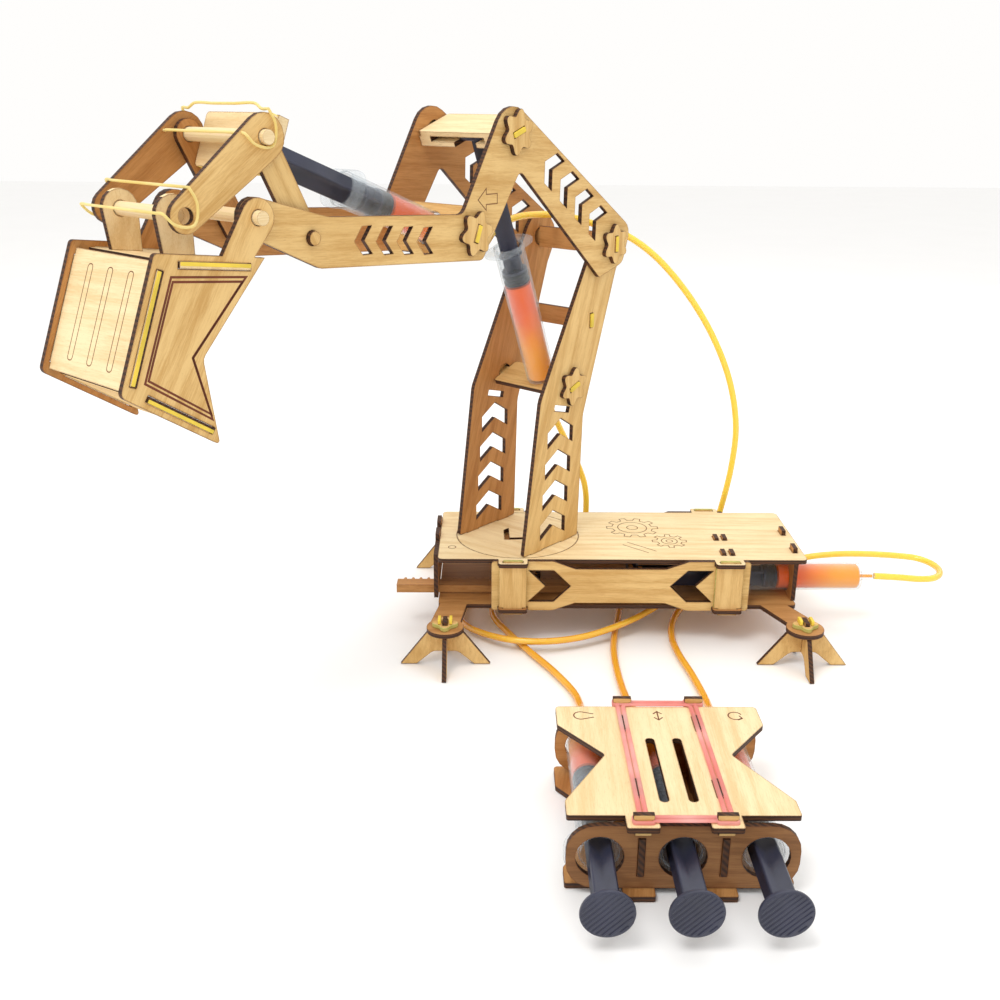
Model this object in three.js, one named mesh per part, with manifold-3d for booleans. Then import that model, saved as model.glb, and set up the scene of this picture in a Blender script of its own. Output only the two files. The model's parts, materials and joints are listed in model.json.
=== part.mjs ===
// Plywood hydraulic arm kit: a slewing base, a two-plate boom with a bucket, and a three-syringe controller.
// Millimetres, +Z up. Sizes are laid out from the slew axis on the deck's top face; the last lines move the
// whole kit so that its origin is the bottom centre of its box, without the hoses.
import * as THREE from 'three';
import { mergeVertices } from 'three/addons/utils/BufferGeometryUtils.js';
import Module from 'manifold-3d';

const wasm = await Module();
wasm.setup();

// ---- driving dimensions ----
const PLY = 2.5;                // plywood sheet
const GAP = 0.3;                // clearance between touching pieces
const GROUND = -52;             // what the feet stand on, below the deck's top face
const ARC_STEP = Math.PI / 9;   // facet angle on rounded corners

const BARREL = { radius: 8.5, wall: 1.1, length: 85, nozzle: 9, nozzleRadius: 2.2, bore: 1.1 };
const FLANGE = { halfLong: 14.5, halfShort: 9.2, thick: 2 };
const PLUNGER = {
  length: 88, discRadius: 10.7, discThick: 2.2, gasketRadius: 7.1, gasketLength: 8, rib: 12.6, ribThick: 1.8,
};
const BARREL_HOLE = BARREL.radius + GAP;
const HOSE_RADIUS = 2;

const SLEW_REST = THREE.MathUtils.degToRad(227.6);   // where the boom points, from +X
const DECK = { left: -47.3, right: 168.7, half: 39 };
const FLOOR_Z = -31.5;                               // underside of the floor plate
const DISC_RADIUS = 37.2;
const PINION = { teeth: 18, pitch: 13.5, root: 12.1, tip: 14.7, z: -28.4, thick: 5 };
const TURN_AXIS = { y: -17, z: -19.5, shoulder: 207.5 };
const FOOT = { left: -42, right: 162, y: 68, ear: 10.5, reach: 25.5, armReach: 23 };

// boom pivots, as [forward, up] in the boom's own plane
const REAR = [-45.5, 174];
const APEX = [40, 235.5];
const ELBOW = [70, 188.5];
const LIFT_BASE = [-14.6, 95.5];
const TIP = [199.7, 204.8];
const ROCKER_BASE = [170.6, 194.3];
const ROCKER_TOP = [191.5, 235.5];
const LUG = [230.8, 207.2];
const BRACE = [-31.4, 131.5];               // strip that ties the masts
const MAST_OUT = 27;                        // outer face of a mast plate, from the boom's middle plane
const ARM_OUT = MAST_OUT + PLY + GAP;
const SIDE_OUT = ARM_OUT + PLY + GAP;       // outer face of the bucket's sides
const ROCKER_OUT = MAST_OUT - GAP;
const COUPLER_OUT = ROCKER_OUT + PLY + GAP;
const LUG_OUT = 21;
const PIVOT_HOLE = 5.2;
const TAB = 8.6;                            // width of a cross plate's tab in a pivot hole
const DOWEL = 3;
const DOWEL_END = 32;                       // half length of a dowel through rockers and links
const LIFT_OFFSET = 5;                      // the lift syringe sits this far towards the near side
const LIFT_GASKET = 62;                     // front face of each gasket, from its barrel's shoulder
const GRAB_SHOULDER = -22;                  // shoulder of the grab barrel, along its axis from the elbow
const GRAB_GASKET = 56;
const TURN_GASKET = 50.5;

const CONTROLLER = {
  centre: 61.2, pitch: 33.4, front: -261, rear: -180.5, axis: -34.3, hole: 9.9, gasket: 33, spine: 16.8,
};

// ---- materials ----
const paint = (color, roughness, opacity = 1) =>
  new THREE.MeshStandardMaterial({ color, roughness, metalness: 0, opacity, transparent: opacity < 1 });
const wood = () => paint(0xe3c184, 0.7);
const clear = () => paint(0xe8eef0, 0.2, 0.4);
const navy = () => paint(0x23273a, 0.45);
const liquid = () => paint(0xf26a10, 0.25, 0.8);
const tubing = () => paint(0xf2b21c, 0.35);

// ---- solids ----
function toSolid(geometry) {
  const bare = geometry.clone();
  bare.deleteAttribute('normal');
  bare.deleteAttribute('uv');
  const merged = mergeVertices(bare, 1e-4);
  return new wasm.Manifold(new wasm.Mesh({
    numProp: 3,
    vertProperties: new Float32Array(merged.attributes.position.array),
    triVerts: new Uint32Array(merged.index.array),
  }));
}

function toGeometry(solid) {
  const mesh = solid.getMesh();
  const geometry = new THREE.BufferGeometry();
  geometry.setAttribute('position', new THREE.BufferAttribute(new Float32Array(mesh.vertProperties), 3));
  geometry.setIndex(new THREE.BufferAttribute(new Uint32Array(mesh.triVerts), 1));
  return geometry;
}

const join = (...geometries) => toGeometry(geometries.map(toSolid).reduce((a, b) => a.add(b)));
const cut = (geometry, ...tools) =>
  toGeometry(tools.map(toSolid).reduce((a, b) => a.subtract(b), toSolid(geometry)));

// Closed outline from corners [x, y, fillet radius].
function rounded(corners) {
  const points = [];
  corners.forEach(([x, y, radius = 0], i) => {
    const corner = new THREE.Vector2(x, y);
    const before = new THREE.Vector2(...corners.at(i - 1)).sub(corner).normalize();
    const after = new THREE.Vector2(...corners[(i + 1) % corners.length]).sub(corner).normalize();
    if (!radius) {
      points.push(corner);
      return;
    }
    const half = Math.acos(THREE.MathUtils.clamp(before.dot(after), -1, 1)) / 2;
    const centre = before.clone().add(after).normalize().multiplyScalar(radius / Math.sin(half)).add(corner);
    const start = corner.clone().addScaledVector(before, radius / Math.tan(half));
    const turn = Math.PI - 2 * half;
    const side = Math.sign(before.cross(after));
    const steps = Math.max(1, Math.round(turn / ARC_STEP));
    for (let k = 0; k <= steps; k += 1) {
      points.push(start.clone().rotateAround(centre, -side * turn * k / steps));
    }
  });
  return points;
}

function ring(x, y, radius, sides = 20) {
  const turns = Array.from({ length: sides }, (_, k) => 2 * Math.PI * k / sides);
  return turns.map((turn) => new THREE.Vector2(x + radius * Math.cos(turn), y + radius * Math.sin(turn)));
}

const box2 = (x0, y0, x1, y1, radius = 0) =>
  rounded([[x0, y0, radius], [x1, y0, radius], [x1, y1, radius], [x0, y1, radius]]);

// The same outline moved, and turned about its own origin.
function placed(points, x, y, turn = 0) {
  const move = new THREE.Vector2(x, y);
  return points.map((point) => point.clone().rotateAround(new THREE.Vector2(), turn).add(move));
}

// A plate on z = 0 with its holes cut right through.
function sheet(outline, holes, thick) {
  const prism = (points, depth) =>
    new THREE.ExtrudeGeometry(new THREE.Shape(points), { depth, bevelEnabled: false });
  const plate = prism(outline, thick);
  const tools = holes.map((hole) => prism(hole, thick + 2).translate(0, 0, -1));
  return tools.length ? cut(plate, ...tools) : plate;
}

// A flat plate lying at height z, standing across Y with its -Y face at y, or standing across X from x.
const flat = (outline, holes, z, thick = PLY) => sheet(outline, holes, thick).translate(0, 0, z);
const acrossY = (outline, holes, y, thick = PLY) =>
  sheet(outline, holes, thick).rotateX(Math.PI / 2).translate(0, y + thick, 0);
const ACROSS_X = new THREE.Matrix4().makeBasis(
  new THREE.Vector3(0, 1, 0), new THREE.Vector3(0, 0, 1), new THREE.Vector3(1, 0, 0));
const acrossX = (outline, holes, x, thick = PLY) =>
  sheet(outline, holes, thick).applyMatrix4(ACROSS_X).translate(x, 0, 0);

function add(group, name, geometry, material) {
  const mesh = new THREE.Mesh(geometry, material);
  mesh.name = name;
  group.add(mesh);
  return mesh;
}

function group(parent, position = [0, 0, 0], rotation = [0, 0, 0]) {
  const child = new THREE.Group();
  child.position.set(...position);
  child.rotation.set(...rotation);
  parent.add(child);
  return child;
}

// ---- outlines that repeat ----
// A chevron pointing along +x, `wide` across and `long` from its back points to its tip.
const chevron = (wide, long, arm) => [
  [long / 2, 0], [-long / 2 + arm, wide / 2], [-long / 2, wide / 2],
  [long / 2 - arm, 0], [-long / 2, -wide / 2], [-long / 2 + arm, -wide / 2],
].map(([x, y]) => new THREE.Vector2(x, y));

function arc([x, y], radius, from, to) {
  const steps = Math.max(2, Math.round(Math.abs(to - from) / ARC_STEP));
  return Array.from({ length: steps + 1 }, (_, k) => {
    const turn = from + (to - from) * k / steps;
    return new THREE.Vector2(x + radius * Math.cos(turn), y + radius * Math.sin(turn));
  });
}

// A link of two round ends, with straight sides that touch both.
function link(from, to, radius, endRadius = radius) {
  const turn = Math.atan2(to[1] - from[1], to[0] - from[0]);
  const lean = Math.acos((radius - endRadius) / Math.hypot(to[0] - from[0], to[1] - from[1]));
  return [
    ...arc(from, radius, turn + lean, turn + 2 * Math.PI - lean),
    ...arc(to, endRadius, turn - lean, turn + lean),
  ];
}

const points2 = (corners) => corners.map(([x, y]) => new THREE.Vector2(x, y));

// ---- syringes: local +Z runs from the nozzle to the thumb disc, with the barrel's shoulder at z = 0 ----
const SYRINGE_SIDES = 20;

function barrelGeometry() {
  const inside = BARREL.radius - BARREL.wall;
  const profile = [
    [BARREL.bore, -BARREL.nozzle], [BARREL.nozzleRadius, -BARREL.nozzle], [BARREL.nozzleRadius + 0.4, -0.2],
    [BARREL.radius - 2, 0], [BARREL.radius, 2], [BARREL.radius, BARREL.length],
    [inside, BARREL.length], [inside, 2], [BARREL.bore, 1], [BARREL.bore, -BARREL.nozzle],
  ].map(([r, z]) => new THREE.Vector2(r, z));
  const tube = new THREE.LatheGeometry(profile, SYRINGE_SIDES).rotateX(Math.PI / 2);
  const oval = rounded([
    [-FLANGE.halfLong, -FLANGE.halfShort, 8], [FLANGE.halfLong, -FLANGE.halfShort, 8],
    [FLANGE.halfLong, FLANGE.halfShort, 8], [-FLANGE.halfLong, FLANGE.halfShort, 8],
  ]);
  const hole = ring(0, 0, BARREL.radius - BARREL.wall / 2, SYRINGE_SIDES);
  return join(tube, flat(oval, [hole], BARREL.length - FLANGE.thick, FLANGE.thick));
}

// `gasket` is the height of the gasket's front face.
function plungerGeometry(gasket) {
  const h = PLUNGER.rib / 2;
  const t = PLUNGER.ribThick / 2;
  const cross = [
    [h, -t], [h, t], [t, t], [t, h], [-t, h], [-t, t],
    [-h, t], [-h, -t], [-t, -t], [-t, -h], [t, -h], [t, -t],
  ].map(([x, y]) => new THREE.Vector2(x, y));
  const top = gasket + PLUNGER.length;
  return join(
    flat(ring(0, 0, PLUNGER.gasketRadius, SYRINGE_SIDES), [], gasket, PLUNGER.gasketLength),
    flat(cross, [], gasket + PLUNGER.gasketLength - 1, PLUNGER.length - PLUNGER.gasketLength),
    flat(ring(0, 0, PLUNGER.discRadius, 24), [], top - PLUNGER.discThick, PLUNGER.discThick),
  );
}

// ---- base ----
// Bracket lugs along both long edges, as the left end of each.
const LUG_STARTS = [-12, 114];
const LUG_WIDTH = 17;
const LUG_REACH = 7.5;

function baseOutline(left, right, half) {
  const lugs = (side) => LUG_STARTS.flatMap((x) => [
    [x, side * half], [x, side * (half + LUG_REACH), 2],
    [x + LUG_WIDTH, side * (half + LUG_REACH), 2], [x + LUG_WIDTH, side * half],
  ]);
  return [
    [left, -half, 3], ...lugs(-1), [right, -half, 3], [right, half, 3], ...lugs(1).reverse(), [left, half, 3],
  ];
}

const lockSlots = () => [-1, 1].flatMap((side) => LUG_STARTS.map((x) => {
  const y = side * (DECK.half + 4.2);
  return box2(x + 2.5, y - 1.5, x + LUG_WIDTH - 2.5, y + 1.5);
}));

const FLANGE_X = TURN_AXIS.shoulder - BARREL.length;
const CLAMP_X = [FLANGE_X - GAP - PLY, FLANGE_X + FLANGE.thick + GAP];
const CLAMP_TABS = [TURN_AXIS.y - 11.8, TURN_AXIS.y + 11.8];
const END_X = DECK.right - 6;

function deckGeometry() {
  const clampSlots = CLAMP_X.flatMap((x) => CLAMP_TABS.map((y) =>
    box2(x - GAP, y - 3.5 - GAP, x + PLY + GAP, y + 3.5 + GAP)));
  const endSlots = [TURN_AXIS.y - 7, TURN_AXIS.y + 21].map((y) =>
    box2(END_X - GAP, y - 4 - GAP, END_X + PLY + GAP, y + 4 + GAP));
  const opening = ring(0, 0, DISC_RADIUS + GAP, 48);
  const holes = [opening, ...clampSlots, ...endSlots, ...lockSlots()];
  return flat(rounded(baseOutline(DECK.left, DECK.right, DECK.half)), holes, -PLY);
}

// The floor carries four ears, each on a neck, for the feet.
function floorGeometry() {
  const plate = flat(rounded(baseOutline(DECK.left, DECK.right - 4, DECK.half)), [
    box2(34, TURN_AXIS.y - 8, 86, TURN_AXIS.y + 8, 3), ...lockSlots(),
  ], FLOOR_Z);
  const ears = [-1, 1].flatMap((side) => [[FOOT.left, 4], [FOOT.right, -12]].map(([x, lean]) => {
    const [root, end] = [side * (DECK.half - 3), side * (FOOT.y - 6)];
    const neck = points2([[x - 8 + lean, root], [x + 8 + lean, root], [x + 8.5, end], [x - 8.5, end]]);
    const ear = flat(ring(x, side * FOOT.y, FOOT.ear, 24), [footSlot(x, side)], FLOOR_Z);
    return join(flat(neck, [], FLOOR_Z), ear);
  }));
  return join(plate, ...ears);
}

const footSlot = (x, side) =>
  box2(x - PLY / 2 - GAP, side * FOOT.y - 4 - GAP, x + PLY / 2 + GAP, side * FOOT.y + 4 + GAP);

function sidePanelGeometry(side) {
  const top = -0.1;
  const bottom = FLOOR_Z + 0.1;
  const middle = (top + bottom) / 2;
  const waist = 10.8;
  const outline = rounded([
    [-16, top, 2], [20, top, 2], [33, middle + waist, 2], [86, middle + waist, 2], [99, top, 2],
    [135, top, 2], [135, bottom, 2], [99, bottom, 2], [86, middle - waist, 2], [33, middle - waist, 2],
    [20, bottom, 2], [-16, bottom, 2],
  ]);
  const chevrons = [[18, 0], [101, Math.PI]].map(([x, turn]) => placed(chevron(20, 25, 15), x, middle, turn));
  const y = side < 0 ? -(DECK.half + GAP + PLY) : DECK.half + GAP;
  const plate = acrossY(outline, chevrons, y);
  const lugNotches = LUG_STARTS.flatMap((x) => [-PLY / 2, FLOOR_Z + PLY / 2].map((z) =>
    new THREE.BoxGeometry(LUG_WIDTH + 2 * GAP, 2 * PLY + 2, PLY + 2 * GAP)
      .translate(x + LUG_WIDTH / 2, y + PLY / 2, z)));
  return cut(plate, ...lugNotches);
}

// Upright plates that clamp the turn syringe's flange: tabs stand through the deck.
function clampGeometry(x) {
  const bottom = FLOOR_Z + PLY + GAP;
  const shoulder = -PLY - GAP;
  const [low, high] = CLAMP_TABS;
  const outline = [
    [low - 8, bottom], [high + 8, bottom], [high + 8, shoulder], [high + 3.5, shoulder], [high + 3.5, 1.5],
    [high - 3.5, 1.5], [high - 3.5, shoulder], [low + 3.5, shoulder], [low + 3.5, 1.5], [low - 3.5, 1.5],
    [low - 3.5, shoulder], [low - 8, shoulder],
  ].map(([y, z]) => new THREE.Vector2(y, z));
  return acrossX(outline, [ring(TURN_AXIS.y, TURN_AXIS.z, BARREL_HOLE)], x);
}

function endPlateGeometry() {
  const bottom = FLOOR_Z + PLY + GAP;
  const shoulder = -PLY - GAP;
  const [low, high] = [TURN_AXIS.y - 7, TURN_AXIS.y + 21];
  const outline = [
    [low - 9, bottom], [high + 6, bottom], [high + 6, shoulder], [high + 4, shoulder], [high + 4, 3],
    [high - 4, 3], [high - 4, shoulder], [low + 4, shoulder], [low + 4, 3], [low - 4, 3],
    [low - 4, shoulder], [low - 9, shoulder],
  ].map(([y, z]) => new THREE.Vector2(y, z));
  return acrossX(outline, [ring(TURN_AXIS.y, TURN_AXIS.z, BARREL_HOLE)], END_X);
}

// Upright plate along the deck's left edge, with two raised tabs and a notch for the rack bar.
function leftPlateGeometry() {
  const [bottom, top] = [FLOOR_Z + PLY + GAP, -0.5];
  const notchTop = PINION.z + PINION.thick + 1;
  const tab = (y) => [[y + 12, top], [y + 12, top + 4, 1], [y, top + 4, 1], [y, top]];
  return acrossX(rounded([
    [-32, bottom, 2], [-26, bottom], [-26, notchTop], [-11, notchTop], [-11, bottom], [32, bottom, 2],
    [32, top, 1], ...tab(12), ...tab(-9), [-32, top, 1],
  ]), [], DECK.left - GAP - PLY);
}

// Two crossed plates, one along X and one along Y, under an ear.
function footGeometry(x, side) {
  const top = FLOOR_Z - GAP;
  const earTab = [[4, top], [4, FLOOR_Z + PLY + 4.5], [-4, FLOOR_Z + PLY + 4.5], [-4, top]];
  const leg = (reach, tab) => rounded([
    [-reach, GROUND], [-reach + 9, GROUND, 1], [-7, top - 12, 5], [7, top - 12, 5], [reach - 9, GROUND, 1],
    [reach, GROUND], [10, top, 2], ...(tab ? earTab : []), [-10, top, 2],
  ]);
  return join(
    acrossY(leg(FOOT.reach, false), [], -PLY / 2),
    acrossX(leg(FOOT.armReach, true), [], -PLY / 2),
  ).translate(x, side * FOOT.y, 0);
}

// ---- turntable ----
function pinionGeometry() {
  const outline = [];
  const tooth = 2 * Math.PI / PINION.teeth;
  for (let k = 0; k < PINION.teeth; k += 1) {
    const flanks = [[-0.3, PINION.root], [-0.14, PINION.tip], [0.14, PINION.tip], [0.3, PINION.root]];
    flanks.forEach(([part, radius]) => {
      const turn = -Math.PI / 2 + (k + part) * tooth;
      outline.push(new THREE.Vector2(radius * Math.cos(turn), radius * Math.sin(turn)));
    });
  }
  const hubFoot = PINION.z + PINION.thick - 0.5;
  const hub = flat(ring(0, 0, 9, 24), [], hubFoot, -PLY - GAP - hubFoot);
  return join(flat(outline, [], PINION.z, PINION.thick), hub);
}

const MAST_TABS = [14, -14];

function discGeometry() {
  const slots = [-1, 1].flatMap((side) => MAST_TABS.map((x) => {
    const y = side * (MAST_OUT - PLY / 2);
    return box2(x - 5 - GAP, y - PLY / 2 - GAP, x + 5 + GAP, y + PLY / 2 + GAP);
  }));
  return flat(ring(0, 0, DISC_RADIUS, 48), [...slots, placed(chevron(22, 16, 4.5), 4, 0)], -PLY);
}

function mastGeometry(y) {
  const outline = rounded([
    [19, GAP], [25.5, GAP, 1], [12.6, 91, 8], [-39.8, 191.5, 12.8], [-64.5, 180, 12.8], [-53, 158, 6],
    [-26.5, 76, 8], [-24.5, GAP, 1], [-19, GAP], [-19, -PLY], [-9, -PLY], [-9, GAP], [9, GAP], [9, -PLY],
    [19, -PLY],
  ]);
  const chevrons = [0, 1, 2, 3].map((k) =>
    placed(chevron(23, 16.5, 9.5), -0.6 - 1.7 * k, 14.5 + 18.5 * k, Math.PI / 2));
  const notch = placed(box2(-7, -1.8, 7, 1.8), -6.5, 83.5, 0.25);
  const pivots = [REAR, LIFT_BASE].map(([x, z]) => ring(x, z, PIVOT_HOLE, 16));
  const braceSlot = placed(box2(-PLY / 2 - GAP, -4 - GAP, PLY / 2 + GAP, 4 + GAP), ...BRACE);
  return acrossY(outline, [...chevrons, notch, ...pivots, braceSlot], y);
}

// A strip across the boom with a tab at each end, standing across X.
function crossStrip([x, z], tall, half, tab, reach) {
  const outline = [
    [-reach, -tab / 2], [-half, -tab / 2], [-half, -tall / 2], [half, -tall / 2], [half, -tab / 2],
    [reach, -tab / 2], [reach, tab / 2], [half, tab / 2], [half, tall / 2], [-half, tall / 2],
    [-half, tab / 2], [-reach, tab / 2],
  ].map(([y, up]) => new THREE.Vector2(y, z + up));
  return acrossX(outline, [], x - PLY / 2);
}

// ---- boom ----
function armGeometry(y) {
  const outline = rounded([
    [45.9, 253.1, 13], [77.8, 198.1, 5], [161, 202.5, 10], [204.6, 214.5, 7.8], [209.7, 200.6, 7.8],
    [167, 181, 4], [64, 174.9, 4], [36.1, 217.2, 3], [-34, 156, 2], [-55.5, 162.5, 6], [-62, 182, 8],
  ]);
  const alongLeg = THREE.MathUtils.degToRad(35);
  const legChevrons = [0, 1, 2, 3].map((k) =>
    placed(chevron(18, 13.5, 7.5), 11 - 13.1 * k, 217 - 9.6 * k, alongLeg));
  const armChevrons = [0, 1, 2, 3].map((k) =>
    placed(chevron(12.5, 10.5, 5.8), 142 - 12.7 * k, 190.9 - 1.1 * k));
  const pivots = [REAR, APEX, ELBOW].map(([x, z]) => ring(x, z, PIVOT_HOLE, 16));
  const dowels = [TIP, ROCKER_BASE].map(([x, z]) => ring(x, z, DOWEL + GAP, 16));
  return acrossY(outline, [...legChevrons, ...armChevrons, ...pivots, ...dowels], y);
}

// A cross plate square to a syringe's axis, turning in the pivot holes by its two tabs.
function cradleGeometry(half, wide, hole, shift) {
  const reach = half + 2.4 * PLY;
  const outline = rounded([
    [-TAB / 2, -reach], [TAB / 2, -reach], [TAB / 2, -half], [wide, -half, 2], [wide, half, 2],
    [TAB / 2, half], [TAB / 2, reach], [-TAB / 2, reach], [-TAB / 2, half], [-wide, half, 2],
    [-wide, -half, 2], [-TAB / 2, -half],
  ]);
  return flat(outline, [ring(0, shift, hole)], -PLY / 2);
}

// Two cross plates that sandwich the thumb disc at height `top`, tied at both ends; the rod leaves by a notch.
function yokeGeometry(half, wide, shift, top) {
  const under = top - PLUNGER.discThick - GAP - PLY;
  const over = top + GAP;
  const slot = 7.6;
  const lower = [
    [-wide, -half], [wide, -half], [wide, shift - slot], [-slot, shift - slot], [-slot, shift + slot],
    [wide, shift + slot], [wide, half], [-wide, half],
  ].map(([x, y]) => new THREE.Vector2(x, y));
  const tie = half - 19;
  const ties = [-1, 1].map((side) => new THREE.BoxGeometry(2 * wide, tie, over - under)
    .translate(0, side * (half - tie / 2), (over + under) / 2));
  return join(flat(lower, [], under), flat(box2(-wide, -half, wide, half, 2), [], over), ...ties);
}

const dowel = ([x, z], from, to) =>
  new THREE.CylinderGeometry(DOWEL, DOWEL, to - from, 16).translate(x, (from + to) / 2, z);

// A rocker with the stub that it turns on, out through the boom plate.
const rockerGeometry = (y) => join(
  acrossY(link(ROCKER_BASE, ROCKER_TOP, 6.5), [ring(...ROCKER_TOP, DOWEL + GAP, 16)], y),
  y > 0 ? dowel(ROCKER_BASE, y + 1, DOWEL_END) : dowel(ROCKER_BASE, -DOWEL_END, y + PLY - 1));

const couplerGeometry = (y) =>
  acrossY(link(ROCKER_TOP, LUG, 9.5, 7), [ROCKER_TOP, LUG].map(([x, z]) => ring(x, z, DOWEL + GAP, 16)), y);

// ---- bucket ----
// Corners of a side, as [forward, up]: the mouth runs from mouthTop over notch to mouthLow.
const BUCKET = {
  mouthTop: [197.8, 188.8],
  backTop: [247.8, 195],
  backLow: [268, 143],
  mouthLow: [226.2, 115.2],
  notch: [230.7, 152.1],
};
const INSET = 4;          // middle of a wall, from the side's edge
const WALL_HALF = SIDE_OUT - PLY - GAP;

// Where a wall lies that follows one edge of the side, `trimStart` and `trimEnd` short of its corners.
function wall(from, to, trimStart, trimEnd) {
  const edge = new THREE.Vector2(to[0] - from[0], to[1] - from[1]);
  const length = edge.length() - trimStart - trimEnd;
  const turn = edge.angle();
  const start = new THREE.Vector2(trimStart, -INSET).rotateAround(new THREE.Vector2(), turn);
  start.add(new THREE.Vector2(...from));
  return { turn, length, start };
}

const WALLS = {
  top: wall(BUCKET.mouthTop, BUCKET.backTop, 4, 7.5),
  back: wall(BUCKET.backTop, BUCKET.backLow, 2.5, 2),
  bottom: wall(BUCKET.backLow, BUCKET.mouthLow, 7.5, 3),
};
const TAB_TRIM = 3;

function wallGeometry({ turn, length, start }) {
  const [a, b] = [TAB_TRIM, length - TAB_TRIM];
  const reach = SIDE_OUT + 0.8;
  const outline = points2([
    [0, -WALL_HALF], [a, -WALL_HALF], [a, -reach], [b, -reach], [b, -WALL_HALF], [length, -WALL_HALF],
    [length, WALL_HALF], [b, WALL_HALF], [b, reach], [a, reach], [a, WALL_HALF], [0, WALL_HALF],
  ]);
  return flat(outline, [], -PLY / 2).rotateY(-turn).translate(start.x, 0, start.y);
}

function bucketSideGeometry(y) {
  const ear = new THREE.Vector2(TIP[0] - 210.3, TIP[1] - 191.1).angle();
  const outline = [
    ...rounded([
      [...BUCKET.mouthTop, 0], [...BUCKET.notch, 4], [...BUCKET.mouthLow, 1], [...BUCKET.backLow, 3],
      [...BUCKET.backTop, 2],
    ]),
    ...points2([[217.9, 191.3]]),
    ...arc(TIP, 8, ear - Math.PI / 2, ear + Math.PI / 2),
    ...points2([[202.7, 189.4]]),
  ];
  const slots = Object.values(WALLS).map(({ turn, length, start }) => placed(
    box2(TAB_TRIM - GAP, -PLY / 2 - GAP, length - TAB_TRIM + GAP, PLY / 2 + GAP), start.x, start.y, turn));
  return acrossY(outline, [...slots, ring(...TIP, DOWEL + GAP, 16)], y);
}

// The top wall carries the two lugs that the lower dowel runs in.
function bucketTopGeometry() {
  const lug = [...arc(LUG, 8, 0, Math.PI), ...points2([[222.8, 187.9], [236.5, 189.6]])];
  const lugs = [-LUG_OUT, LUG_OUT - PLY].map((y) => acrossY(lug, [ring(...LUG, DOWEL + GAP, 16)], y));
  return join(wallGeometry(WALLS.top), ...lugs);
}

// ---- rack ----
function rackGeometry() {
  const pitch = 2 * Math.PI * PINION.pitch / PINION.teeth;
  const [root, tip] = [-PINION.pitch - 1.6, -PINION.pitch + 0.6];
  const teeth = Array.from({ length: 27 }, (_, k) => (k - 14.5) * pitch).flatMap((x) => [
    [x - 1, root], [x - 0.5, tip], [x + 0.5, tip], [x + 1, root],
  ]);
  const disc = TURN_AXIS.shoulder - TURN_GASKET - PLUNGER.length;
  const [left, right, back] = [-73, disc - 1, -24];
  const outline = [[left, back], [right, back], [right, root], ...teeth.reverse(), [left, root]];
  const bar = flat(points2(outline), [], PINION.z, PINION.thick);
  const rise = TURN_AXIS.z + 9 - PINION.z;
  const upright = (long, deep, x, y) =>
    new THREE.BoxGeometry(long, deep, rise).translate(x, TURN_AXIS.y + y, PINION.z + rise / 2);
  const cheek = upright(12, PLY, disc + 1, -12.3);
  const pusher = upright(PLY, 20, disc - GAP - PLY / 2, -2.6);
  const keeper = upright(PLY, 6, disc + PLUNGER.discThick + GAP + PLY / 2, -10.4);
  return join(bar, cheek, pusher, keeper);
}

// ---- controller ----
const STATIONS = [-1, 0, 1].map((k) => CONTROLLER.centre + k * CONTROLLER.pitch);
const SPINES = [-CONTROLLER.spine, CONTROLLER.spine].map((x) => CONTROLLER.centre + x);
const COVER_Z = -19.1;
const BASE_TOP = GROUND + PLY;

// Outline of the controller's two level plates: notched at the sides, with two tabs out over the front plate.
const levelOutline = () => {
  const [left, right] = [CONTROLLER.centre - 47, CONTROLLER.centre + 47];
  const [edge, tabEnd] = [-257.9, -266];
  const frontTabs = [-23.7, 9.6].flatMap((x) => {
    const start = CONTROLLER.centre + x;
    return [[start, edge], [start, tabEnd, 1], [start + 13.1, tabEnd, 1], [start + 13.1, edge]];
  });
  return [
    [left, -175, 2], [left, -191, 2], [left + 19.5, -215, 2], [left, -248, 2], [left, edge, 1], ...frontTabs,
    [right, edge, 1], [right, -248, 2], [right - 19.5, -215, 2], [right, -191, 2], [right, -175, 2],
  ];
};
const spineSlots = () => SPINES.flatMap((x) => [-240, -190].map((y) =>
  box2(x - PLY / 2 - GAP, y - 6 - GAP, x + PLY / 2 + GAP, y + 6 + GAP)));

function coverGeometry() {
  const windows = [-6.5, 5.5].map((x) =>
    box2(CONTROLLER.centre + x - 2, -249, CONTROLLER.centre + x + 2, -202, 1.9));
  return flat(rounded(levelOutline()), [...spineSlots(), ...windows], COVER_Z);
}

const controllerFloorGeometry = () => flat(rounded(levelOutline()), spineSlots(), GROUND);

// Plate across the syringes, with a hole for each and slots for the two spines.
function crossPlateGeometry(y, hole) {
  const [low, high] = [BASE_TOP + GAP, COVER_Z - GAP];
  const outline = rounded([[14.2, low, 12], [108.4, low, 12], [108.4, high, 12], [14.2, high, 12]]);
  const [slotLow, slotHigh] = [CONTROLLER.axis - 9 - GAP, CONTROLLER.axis + 9 + GAP];
  const slots = SPINES.map((x) => box2(x - PLY / 2 - GAP, slotLow, x + PLY / 2 + GAP, slotHigh));
  return acrossY(outline, [...STATIONS.map((x) => ring(x, CONTROLLER.axis, hole, 24)), ...slots], y);
}

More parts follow.
